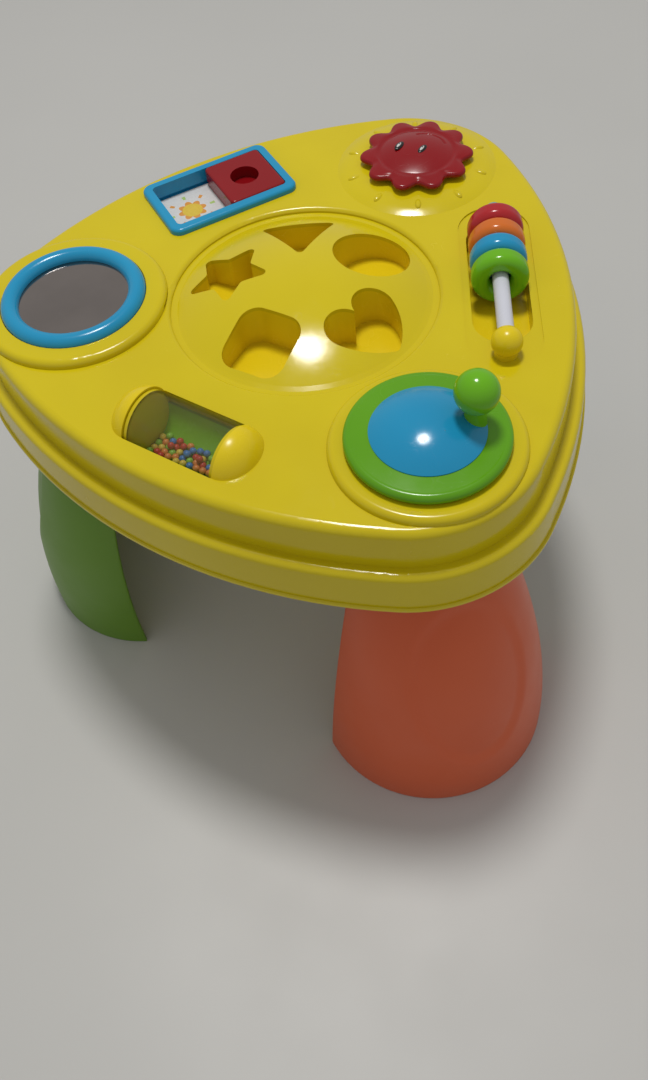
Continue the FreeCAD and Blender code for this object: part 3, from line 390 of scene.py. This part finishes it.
PETAL_DROP = 0.0002
PETAL_SLOPE = 0.0011
PETAL_COUNT = 10
PETAL_TURN = math.radians(12.0)
PETAL_TIP = 0.0370
PETAL_HOLLOW = 0.0307
PETAL_FULLNESS = 0.20
SMILE_MIDDLE = (0.0062, -0.0030)
SMILE_RADIUS = 0.0130
SMILE_SPREAD = math.radians(52.0)
SMILE_HALF_WIDTH = 0.0010
SMILE_DEPTH = 0.0008
FACE_ROWS = 44
EDGE_ROUND = 0.0022
EDGE_DROP = 0.0014
EDGE_STEPS = 8
CORNER_ROUND = 0.0006
PETAL_UNDERSIDE = 0.0069
UNDERSIDE_SHARE = 0.3
PLUNGER_RADIUS = 0.0100
PLUNGER_END = -0.0090
AROUND_SUN = 240


def station(direction, radius, along=0.0):
    """Where a toy stands on the deck: x points outwards, y along the side and z up from the deck."""
    return (Matrix.Translation((0.0, AXIS_Y, DECK_TOP)) @ Matrix.Rotation(math.radians(direction), 4, "Z")
            @ Matrix.Translation((radius, along, 0.0)))


def oval_pad(maker, where, middle, half_length, half_width, low, high):
    """Closed domed pad with an oval outline, added to a bmesh."""
    rings = []
    for level, share in PAD_SECTION:
        ring = []
        for k in range(PAD_STEPS):
            angle = 2 * math.pi * k / PAD_STEPS
            x = middle[0] + half_length * share * math.cos(angle)
            y = middle[1] + half_width * share * math.sin(angle)
            ring.append(maker.verts.new(where @ Vector((x, y, low + (high - low) * level))))
        rings.append(ring)
    for below, above in zip(rings, rings[1:]):
        skin(maker, below, above, closed=True)
    maker.faces.new(rings[-1])
    maker.faces.new(list(reversed(rings[0])))


def petal_edge_at(angle):
    """Reach of the sun's outline: ten broad round petals with narrower hollows between them."""
    wave = math.cos(PETAL_COUNT * (angle - PETAL_TURN))
    fullness = wave + PETAL_FULLNESS * (1.0 - wave * wave)
    middle = (PETAL_TIP + PETAL_HOLLOW) / 2
    return middle + (PETAL_TIP - PETAL_HOLLOW) / 2 * fullness


def smile_at(x, y):
    """Depth of the moulded smile, a shallow arc that curves outwards across the face."""
    side, out = y - SMILE_MIDDLE[1], x - SMILE_MIDDLE[0]
    turn = max(-SMILE_SPREAD, min(SMILE_SPREAD, math.atan2(side, out)))
    away = math.hypot(out - SMILE_RADIUS * math.cos(turn), side - SMILE_RADIUS * math.sin(turn))
    near = max(0.0, 1.0 - away / SMILE_HALF_WIDTH)
    return SMILE_DEPTH * near * near * (3 - 2 * near)


def sun_rings():
    """Section of the button, from the middle of the face over the petals' edge to the plunger's end.

    Each ring has the share of the petals' reach that it follows, its distance from there and its height.
    """
    rings = []
    for k in range(1, FACE_ROWS):
        distance = (FACE_RADIUS - GROOVE_LIP) * k / FACE_ROWS
        rings.append((0.0, distance, SUN_CREST - FACE_RISE * (distance / FACE_RADIUS) ** 2))
    groove = SUN_CREST - FACE_RISE
    for out, rise in GROOVE_SECTION:
        rings.append((0.0, FACE_RADIUS + out, groove + rise))
    rings.append((PETAL_FOOT_SHARE, 0.0, groove + PETAL_FOOT_RISE))
    for share in PETAL_SHARES:
        rings.append((share, 0.0, PETAL_CREST - PETAL_DROP - PETAL_SLOPE * share))
    for k in range(EDGE_STEPS + 1):
        lean = math.pi / 2 * k / EDGE_STEPS
        height = PETAL_CREST - EDGE_DROP - EDGE_ROUND * (1 - math.cos(lean))
        rings.append((1.0, -EDGE_ROUND * (1 - math.sin(lean)), height))
    rings += [(1.0, 0.0, PETAL_UNDERSIDE + CORNER_ROUND),
              (1.0, -CORNER_ROUND, PETAL_UNDERSIDE),
              (UNDERSIDE_SHARE, 0.0, PETAL_UNDERSIDE),
              (0.0, PLUNGER_RADIUS + CORNER_ROUND, PETAL_UNDERSIDE),
              (0.0, PLUNGER_RADIUS, PETAL_UNDERSIDE - CORNER_ROUND),
              (0.0, PLUNGER_RADIUS, PLUNGER_END + CORNER_ROUND),
              (0.0, PLUNGER_RADIUS - CORNER_ROUND, PLUNGER_END)]
    return rings


toy_red = glossy_moulding("toy_red_gloss", SUN_RED, SUN_RED_DEEP, 0.15)
wear_finish(toy_red, "slider_block")
sun_station = station(90.0, CORNER_TOY_RADIUS)
button = bmesh.new()
top = button.verts.new(sun_station @ Vector((0.0, 0.0, SUN_CREST)))
loops = []
for share, distance, height in sun_rings():
    loop = []
    for k in range(AROUND_SUN):
        angle = 2 * math.pi * k / AROUND_SUN
        reach = distance
        if share == 1.0:
            reach += petal_edge_at(angle)
        elif share > 0.0:
            inner = FACE_RADIUS + GROOVE_WIDTH
            reach += inner + (petal_edge_at(angle) - EDGE_ROUND - inner) * share
        x, y = reach * math.cos(angle), reach * math.sin(angle)
        loop.append(button.verts.new(sun_station @ Vector((x, y, height - smile_at(x, y)))))
    loops.append(loop)
columns = list(zip(*loops))
for column, beside in zip(columns, columns[1:] + columns[:1]):
    button.faces.new((top, column[0], beside[0]))
    skin(button, column, beside)
button.faces.new(list(reversed(loops[-1])))
sun_piece = add_piece("sun_with_petals", button, toy_red, "sun")
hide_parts("sun_button")
eye_black = glossy_moulding("eye_black_gloss", (0.016, 0.015, 0.015), (0.012, 0.011, 0.011), 0.18)
eye_white = glossy_moulding("eye_white_gloss", (0.640, 0.640, 0.620), (0.600, 0.600, 0.580), 0.18)
wear_finish(eye_black, "sun_eyes")
pad_low = SUN_CREST - EYE_SINK
white_top = pad_low + EYE_PAD_HEIGHT + WHITE_PROUD
pupil_top = white_top + PUPIL_PROUD
whites = bmesh.new()
pupils = bmesh.new()
for out, along in EYES:
    white_middle = (out - WHITE_INWARDS, along)
    pupil_middle = (out + PUPIL_OUTWARDS, along)
    oval_pad(whites, sun_station, white_middle, WHITE_HALF_LENGTH, WHITE_HALF_WIDTH, pad_low, white_top)
    oval_pad(pupils, sun_station, pupil_middle, PUPIL_HALF_LENGTH, PUPIL_HALF_WIDTH, pad_low, pupil_top)
add_piece("sun_eye_whites", whites, eye_white, "sun")
add_piece("sun_pupils", pupils, eye_black, "sun")

# The crank is a sloping green ring and a blue dome that turn together, with a green ball knob to hold.
# All three are glossy mouldings; the ball is pressed on a stub of the dome. The ball has the ring's green
# made a quarter lighter: painted light for its brighter lit side.
# Below the deck they sit on a white axle with a cam that clicks past a black contact block.
CRANK_GREEN = (0.118, 0.355, 0.006)
CRANK_GREEN_DEEP = (0.103, 0.320, 0.005)
# The knob's green is the ring's green made lighter, painted light for its lit side; the green counting ring
# shares it.
BALL_GREEN_PAINTED_LIGHT = (0.150, 0.460, 0.010)
BALL_GREEN_DEEP_PAINTED_LIGHT = (0.132, 0.415, 0.008)
toy_green = glossy_moulding("toy_green_gloss", CRANK_GREEN, CRANK_GREEN_DEEP, 0.16)
wear_finish(toy_green, "crank_ring")
ball_green_painted_light = glossy_moulding("ball_green_gloss", BALL_GREEN_PAINTED_LIGHT, BALL_GREEN_DEEP_PAINTED_LIGHT, 0.14)
wear_finish(ball_green_painted_light, "crank_knob", "ring_green")
wear_finish(blue_plastic, "crank_dome", "ring_blue")
rod_white = glossy_moulding("rod_white_gloss", (0.620, 0.630, 0.700), (0.585, 0.595, 0.665), 0.22)
wear_finish(rod_white, "crank_axle", "abacus_rod", "power_switch", "switch_body")
dark_plastic = grained_moulding("dark_plastic", (0.022, 0.022, 0.024), (0.017, 0.017, 0.019), 0.42,
                                PLATE_GRAIN)
wear_finish(dark_plastic, "crank_contact", "crank_cam", "sun_switch")

# The slider's card lies on the floor of the blue frame, and the block leaves half of it to see.
# Each half has a plain disc with petals and dashes around it, one in warm inks and one in cool ones.
# The print is matt ink on white card.
SLIDER_SIDE = 150.0
SLIDER_RADIUS = 0.120
PICTURE_MIDDLE = 0.0205
PICTURE_OUT = 0.0015
PETALS = 8
DISC_RADIUS = 0.0068
PETAL_REACH = 0.0030
DASH_START = 0.0128
DASH_END = 0.0162
DASH_NARROWNESS = 0.955
tree, shader, place = new_finish("printed_card")
card_middle = station(SLIDER_SIDE, SLIDER_RADIUS + PICTURE_OUT)
to_card = tree.nodes.new("ShaderNodeMapping")
to_card.vector_type = "TEXTURE"
to_card.inputs["Location"].default_value = card_middle.translation
to_card.inputs["Rotation"].default_value = (0.0, 0.0, math.radians(SLIDER_SIDE))
tree.links.new(place, to_card.inputs["Vector"])
sides = tree.nodes.new("ShaderNodeSeparateXYZ")
tree.links.new(to_card.outputs["Vector"], sides.inputs["Vector"])
out = sides.outputs["X"]
along = calculated(tree, "SUBTRACT", calculated(tree, "ABSOLUTE", sides.outputs["Y"]), PICTURE_MIDDLE)
cool_half = calculated(tree, "LESS_THAN", sides.outputs["Y"], 0.0)
reach = calculated(tree, "SQRT", calculated(
    tree, "ADD", calculated(tree, "MULTIPLY", out, out), calculated(tree, "MULTIPLY", along, along)))
angle = calculated(tree, "ARCTAN2", along, out)
petal_wave = calculated(tree, "COSINE", calculated(tree, "MULTIPLY", angle, PETALS / 2))
lobes = calculated(tree, "ABSOLUTE", petal_wave)
petal_edge = calculated(tree, "ADD", calculated(tree, "MULTIPLY", lobes, PETAL_REACH), DISC_RADIUS)
in_petals = calculated(tree, "LESS_THAN", reach, petal_edge)
in_disc = calculated(tree, "LESS_THAN", reach, DISC_RADIUS)
on_ray = calculated(tree, "GREATER_THAN", lobes, DASH_NARROWNESS)
in_band = calculated(tree, "MULTIPLY", calculated(tree, "GREATER_THAN", reach, DASH_START),
                     calculated(tree, "LESS_THAN", reach, DASH_END))
on_dash = calculated(tree, "MULTIPLY", on_ray, in_band)
dash_turn = calculated(tree, "GREATER_THAN", petal_wave, 0.0)


def printed_over(under, ink, where_printed):
    """Lay one ink over what is already printed."""
    layer = tree.nodes.new("ShaderNodeMix")
    layer.data_type = "RGBA"
    tree.links.new(where_printed, layer.inputs[0])
    tree.links.new(under, layer.inputs[6])
    tree.links.new(ink, layer.inputs[7])
    return layer.outputs[2]


fibres = mottle(tree, place, 900.0, 3.0)
paper = tinted(tree, fibres, (0.30, (0.600, 0.595, 0.590)), (0.70, (0.660, 0.655, 0.645)))
orange_ink = tinted(tree, fibres, (0.30, (0.640, 0.270, 0.045)), (0.70, (0.690, 0.310, 0.055)))
yellow_ink = tinted(tree, fibres, (0.30, (0.660, 0.460, 0.040)), (0.70, (0.710, 0.510, 0.055)))
green_ink = tinted(tree, fibres, (0.30, (0.360, 0.520, 0.140)), (0.70, (0.400, 0.560, 0.165)))
blue_ink = tinted(tree, fibres, (0.30, (0.060, 0.270, 0.480)), (0.70, (0.075, 0.305, 0.525)))
dash_ink = printed_over(orange_ink, green_ink, dash_turn)
petal_ink = printed_over(orange_ink, blue_ink, cool_half)
disc_ink = printed_over(yellow_ink, green_ink, cool_half)
print_colour = printed_over(paper, dash_ink, on_dash)
print_colour = printed_over(print_colour, petal_ink, in_petals)
print_colour = printed_over(print_colour, disc_ink, in_disc)
tree.links.new(print_colour, shader.inputs["Base Color"])
tree.links.new(eased(tree, fibres, 0.3, 0.7, 0.42, 0.56), shader.inputs["Roughness"])
wear_finish(bpy.data.materials["printed_card"], "picture_card")

# Four fat counting rings on a white rod, with a ball at each end that holds the rod over its trough.
# Each ring is a glossy moulding that slides with play; the far ball is light blue and the near one yellow.
ring_red = glossy_moulding("ring_red_gloss", (0.430, 0.020, 0.026), (0.390, 0.016, 0.021), 0.14)
ring_orange = glossy_moulding("ring_orange_gloss", (0.650, 0.160, 0.022), (0.610, 0.143, 0.018), 0.14)
light_blue = glossy_moulding("light_blue_gloss", (0.090, 0.340, 0.490), (0.078, 0.310, 0.455), 0.15)
wear_finish(ring_red, "ring_red")
wear_finish(ring_orange, "ring_orange")
wear_finish(light_blue, "rod_end_far")

# The drum is a clear smoky half shell clipped over a green one, with two round ends that carry its pins.
# Its window shows the small glossy beads, which lie in a heap in the green half and here turn with the drum.
SMOKE = (0.200, 0.180, 0.050)
SMOKE_RUBBED = (0.240, 0.215, 0.080)
CLEARNESS = 0.86
DRUM_GREEN = (0.180, 0.460, 0.030)
DRUM_GREEN_DEEP = (0.155, 0.410, 0.024)
BEAD_RADIUS = 0.00215
BEADS_IN_ALL = 55
DRUM_BORE = 0.0180
DRUM_HALF_LENGTH = 0.0275
DRUM_AXIS_DROP = 0.007
HEAP_SEED = 8
HEAP_ROUNDS = 260
HEAP_FALL = 0.00012
BEAD_FLATNESS = 0.96
BEAD_TURN = 900.0
BEAD_TURN_AXIS = Vector((1.0, 0.6, 0.3))
BEAD_COLOURS = {
    "red": ((0.560, 0.040, 0.050), (0.510, 0.032, 0.040)),
    "orange": ((0.760, 0.250, 0.080), (0.710, 0.225, 0.070)),
    "yellow": ((0.780, 0.560, 0.100), (0.730, 0.515, 0.088)),
    "green": ((0.260, 0.560, 0.080), (0.230, 0.510, 0.070)),
    "blue": ((0.055, 0.210, 0.580), (0.045, 0.185, 0.530)),
}
tree, shader, place = new_finish("clear_smoke_shell")
rubbed = mottle(tree, place, 44.0, 5.0)
tree.links.new(tinted(tree, rubbed, (0.35, SMOKE), (0.70, SMOKE_RUBBED)), shader.inputs["Base Color"])
scratched = calculated(tree, "MULTIPLY", hairlines(tree, place), 0.12)
tree.links.new(calculated(tree, "ADD", eased(tree, rubbed, 0.35, 0.7, 0.04, 0.09), scratched),
               shader.inputs["Roughness"])
shader.inputs["Alpha"].default_value = 1.0 - CLEARNESS
shader.inputs["Specular IOR Level"].default_value = 0.6
shader.inputs["IOR"].default_value = 1.5
wear_finish(bpy.data.materials["clear_smoke_shell"], "drum_clear_half")
drum_green = glossy_moulding("drum_green_gloss", DRUM_GREEN, DRUM_GREEN_DEEP, 0.22)
wear_finish(drum_green, "drum_green_half")
wear_finish(deck_plastic, "drum_end_left", "drum_end_right")


def heap_of_beads():
    """Beads dropped along the drum and pushed apart until they rest on its wall and on each other."""
    chance = random.Random(HEAP_SEED)
    reach = DRUM_BORE - BEAD_RADIUS
    limit = DRUM_HALF_LENGTH - BEAD_RADIUS
    beads = []
    for _ in range(BEADS_IN_ALL):
        beads.append(Vector((chance.uniform(-1, 1) * DRUM_HALF_LENGTH, chance.uniform(-0.5, 0.5) * reach,
                             -chance.uniform(0.2, 0.9) * reach)))
    for _ in range(HEAP_ROUNDS):
        for bead in beads:
            bead.z -= HEAP_FALL
        for i, bead in enumerate(beads):
            for other in beads[i + 1:]:
                gap = other - bead
                apart = gap.length
                if 0 < apart < 2 * BEAD_RADIUS:
                    push = gap * ((2 * BEAD_RADIUS - apart) / apart / 2)
                    bead -= push
                    other += push
        for bead in beads:
            bead.x = max(-limit, min(limit, bead.x))
            across = math.hypot(bead.y, bead.z)
            if across > reach:
                bead.y *= reach / across
                bead.z *= reach / across
    return beads


drum_low, drum_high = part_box("drum_clear_half")
drum_middle = (drum_low + drum_high) / 2
drum_middle.z = DECK_TOP - DRUM_AXIS_DROP
resting = heap_of_beads()
for index, (bead_name, (colour, deep)) in enumerate(BEAD_COLOURS.items()):
    maker = bmesh.new()
    for bead in resting[index::len(BEAD_COLOURS)]:
        turn = Matrix.Rotation(index + bead.x * BEAD_TURN, 4, BEAD_TURN_AXIS)
        stretch = Matrix.Diagonal((1.0, 1.0, BEAD_FLATNESS, 1.0))
        bmesh.ops.create_icosphere(maker, subdivisions=3, radius=BEAD_RADIUS,
                                   matrix=Matrix.Translation(drum_middle + bead) @ turn @ stretch)
    finish = glossy_moulding("bead_" + bead_name + "_gloss", colour, deep, 0.16)
    heap = add_piece("heaped_beads_" + bead_name, maker, finish, "drum")
    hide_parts("beads_" + bead_name)

# The screws and the battery's contacts are plated steel, drawn or stamped and tumbled.
# The screws sit in the holes of the closing plate, the battery door, the legs and the crank's axle.
DRAWN_STRETCH = 14.0
DRAWN_PATCHES = 420.0
DRAWN_DEPTH = 0.00001
DRAWN_SHADE = 0.82


def plated_steel(name, tone, dullness):
    """Bright plating with fine drawing marks along the piece."""
    tree, shader, place = new_finish(name)
    stretched = tree.nodes.new("ShaderNodeMapping")
    stretched.inputs["Scale"].default_value = (1.0, 1.0, DRAWN_STRETCH)
    tree.links.new(place, stretched.inputs["Vector"])
    marks = mottle(tree, stretched.outputs["Vector"], DRAWN_PATCHES, 4.0)
    darker = tuple(DRAWN_SHADE * part for part in tone)
    tree.links.new(tinted(tree, marks, (0.35, darker), (0.65, tone)), shader.inputs["Base Color"])
    tree.links.new(eased(tree, marks, 0.3, 0.7, dullness, dullness + 0.16), shader.inputs["Roughness"])
    raised(tree, shader, marks, DRAWN_DEPTH)
    shader.inputs["Metallic"].default_value = 1.0
    return bpy.data.materials[name]


steel = plated_steel("plated_steel", (0.620, 0.610, 0.590), 0.24)
wear_finish(steel, "cover_screws", "leg_screws", "door_screw", "crank_screw", "battery_contacts")

# The spring under the sun is wound from bright round wire in four open turns.
# It stands on the deck around the sun's stem.
SPRING_RADIUS = 0.013
SPRING_WIRE = 0.00045
SPRING_TURNS = 4
SPRING_STEPS = 48
WIRE_SIDES = 10
spring_low, spring_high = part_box("button_spring")
spring_foot = (spring_low + spring_high) / 2
spring_foot.z = spring_low.z
free_length = spring_high.z - spring_low.z
coil = bmesh.new()
wire_rounds = []
for step in range(SPRING_TURNS * SPRING_STEPS + 1):
    share = step / (SPRING_TURNS * SPRING_STEPS)
    turn = 2 * math.pi * SPRING_TURNS * share
    outward = Vector((math.cos(turn), math.sin(turn), 0.0))
    middle = spring_foot + SPRING_RADIUS * outward
    middle.z += SPRING_WIRE + (free_length - 2 * SPRING_WIRE) * share
    wire_rounds.append([])
    for k in range(WIRE_SIDES):
        angle = 2 * math.pi * k / WIRE_SIDES
        beside = math.cos(angle) * outward + Vector((0.0, 0.0, math.sin(angle)))
        wire_rounds[-1].append(coil.verts.new(middle + SPRING_WIRE * beside))
for before, after in zip(wire_rounds, wire_rounds[1:]):
    skin(coil, before, after, closed=True)
coil.faces.new(wire_rounds[0])
coil.faces.new(wire_rounds[-1])
bmesh.ops.recalc_face_normals(coil, faces=coil.faces)
wound_spring = add_piece("wound_spring", coil, steel, "table")
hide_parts("button_spring")
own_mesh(wound_spring)

# Below the deck are a paper-cone speaker, a small circuit board with its parts, and three round cells.
# They are fixed to the closing plate and show only through its slots or with the battery door off.
TRACK_PATCHES = 90.0
TRACK_WIDTH = 0.12
TRACK_DEPTH = 0.00004
PAPER_DEPTH = 0.00008
tree, shader, place = new_finish("board_laminate")
tracks = tree.nodes.new("ShaderNodeTexBrick")
tracks.inputs["Scale"].default_value = TRACK_PATCHES
tracks.inputs["Mortar Size"].default_value = TRACK_WIDTH
tree.links.new(place, tracks.inputs["Vector"])
copper_green = tinted(tree, tracks.outputs["Fac"], (0.40, (0.018, 0.120, 0.040)),
                      (0.60, (0.060, 0.230, 0.080)))
tree.links.new(copper_green, shader.inputs["Base Color"])
tree.links.new(eased(tree, mottle(tree, place, 60.0), 0.3, 0.7, 0.25, 0.36), shader.inputs["Roughness"])
raised(tree, shader, tracks.outputs["Fac"], TRACK_DEPTH)
wear_finish(bpy.data.materials["board_laminate"], "circuit_board")
tree, shader, place = new_finish("speaker_cone")
pressed = mottle(tree, place, 700.0, 4.0)
tree.links.new(tinted(tree, pressed, (0.3, (0.030, 0.030, 0.032)), (0.7, (0.060, 0.060, 0.063))),
               shader.inputs["Base Color"])
tree.links.new(eased(tree, pressed, 0.3, 0.7, 0.55, 0.75), shader.inputs["Roughness"])
raised(tree, shader, pressed, PAPER_DEPTH)
wear_finish(bpy.data.materials["speaker_cone"], "speaker")
wear_finish(dark_plastic, "board_parts")
cell_low, cell_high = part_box("battery_cells")
tree, shader, place = new_finish("cell_sleeve")
sides = tree.nodes.new("ShaderNodeSeparateXYZ")
tree.links.new(place, sides.inputs["Vector"])
band = eased(tree, sides.outputs["Y"], cell_low.y, cell_high.y, 0.0, 1.0)
sleeve = tinted(tree, band, (0.06, (0.520, 0.510, 0.490)), (0.075, (0.030, 0.031, 0.036)),
                (0.72, (0.034, 0.035, 0.040)), (0.73, (0.420, 0.250, 0.090)))
tree.links.new(sleeve, shader.inputs["Base Color"])
tree.links.new(eased(tree, mottle(tree, place, 90.0, 4.0), 0.3, 0.7, 0.22, 0.34), shader.inputs["Roughness"])
shader.inputs["Metallic"].default_value = 0.6
wear_finish(bpy.data.materials["cell_sleeve"], "battery_cells")

# The room is a wide pale floor with a faint cloudiness under one large soft lamp, high behind on the left.
# The sky around is plain, at a level where a colour shows about as it is written.
FLOOR_HALF = 6.0
FLOOR_STEPS = 24
maker = bmesh.new()
bmesh.ops.create_grid(maker, x_segments=FLOOR_STEPS, y_segments=FLOOR_STEPS, size=FLOOR_HALF)
floor_mesh = bpy.data.meshes.new("floor")
maker.to_mesh(floor_mesh)
maker.free()
floor = bpy.data.objects.new("floor", floor_mesh)
bpy.context.scene.collection.objects.link(floor)
tree, shader, place = new_finish("floor_tile")
cloudy = mottle(tree, place, 1.7, 4.0)
tree.links.new(tinted(tree, cloudy, (0.3, (0.500, 0.497, 0.478)), (0.7, (0.530, 0.527, 0.508))),
               shader.inputs["Base Color"])
tree.links.new(eased(tree, mottle(tree, place, 9.0, 3.0), 0.3, 0.7, 0.42, 0.50), shader.inputs["Roughness"])
floor_mesh.materials.append(bpy.data.materials["floor_tile"])

SKY_LEVEL = 0.42
SKY_COLOUR = (1.0, 0.995, 0.985, 1.0)
world = bpy.data.worlds.new("plain_sky")
world.use_nodes = True
bpy.context.scene.world = world
sky = world.node_tree.nodes["Background"]
sky.inputs["Color"].default_value = SKY_COLOUR
sky.inputs["Strength"].default_value = SKY_LEVEL

LAMP_PLACE = Vector((-0.28, 0.32, 2.60))
LAMP_TARGET = Vector((0.0, 0.0, 0.15))
LAMP_COLOUR = (1.0, 0.985, 0.960)
LAMP_SIZE = 0.50
LAMP_POWER = 32.0
lamp_data = bpy.data.lights.new("soft_lamp", "AREA")
lamp_data.shape = "DISK"
lamp_data.size = LAMP_SIZE
lamp_data.energy = LAMP_POWER
lamp_data.color = LAMP_COLOUR
lamp = bpy.data.objects.new("soft_lamp", lamp_data)
lamp.location = LAMP_PLACE
lamp.rotation_euler = (LAMP_TARGET - LAMP_PLACE).to_track_quat("-Z", "Y").to_euler()
bpy.context.scene.collection.objects.link(lamp)

# The camera stands where the photograph was taken, above and in front on the right, a little tilted.
# Its lens gives the photograph's field in a frame of 648 by 1080.
CAMERA_PLACE = Vector((0.29074, -0.42023, 0.69859))
CAMERA_TURN = -0.65042
CAMERA_DIP = 0.946489
CAMERA_ROLL = -0.122313
SENSOR_WIDTH = 36.0
LENS_LENGTH = 35.042
forward = Vector((math.sin(CAMERA_TURN) * math.cos(CAMERA_DIP), math.cos(CAMERA_TURN) * math.cos(CAMERA_DIP),
                  -math.sin(CAMERA_DIP)))
level_right = Vector((math.cos(CAMERA_TURN), -math.sin(CAMERA_TURN), 0.0))
level_up = level_right.cross(forward)
right = level_right * math.cos(CAMERA_ROLL) + level_up * math.sin(CAMERA_ROLL)
up = level_up * math.cos(CAMERA_ROLL) - level_right * math.sin(CAMERA_ROLL)
camera_data = bpy.data.cameras.new("camera")
camera_data.sensor_fit = "AUTO"
camera_data.sensor_width = SENSOR_WIDTH
camera_data.lens = LENS_LENGTH
camera_data.clip_start = 0.02
camera = bpy.data.objects.new("camera", camera_data)
camera.matrix_world = Matrix.Translation(CAMERA_PLACE) @ Matrix((right, up, -forward)).transposed().to_4x4()
bpy.context.scene.collection.objects.link(camera)
bpy.context.scene.camera = camera
bpy.context.scene.view_settings.view_transform = "Standard"
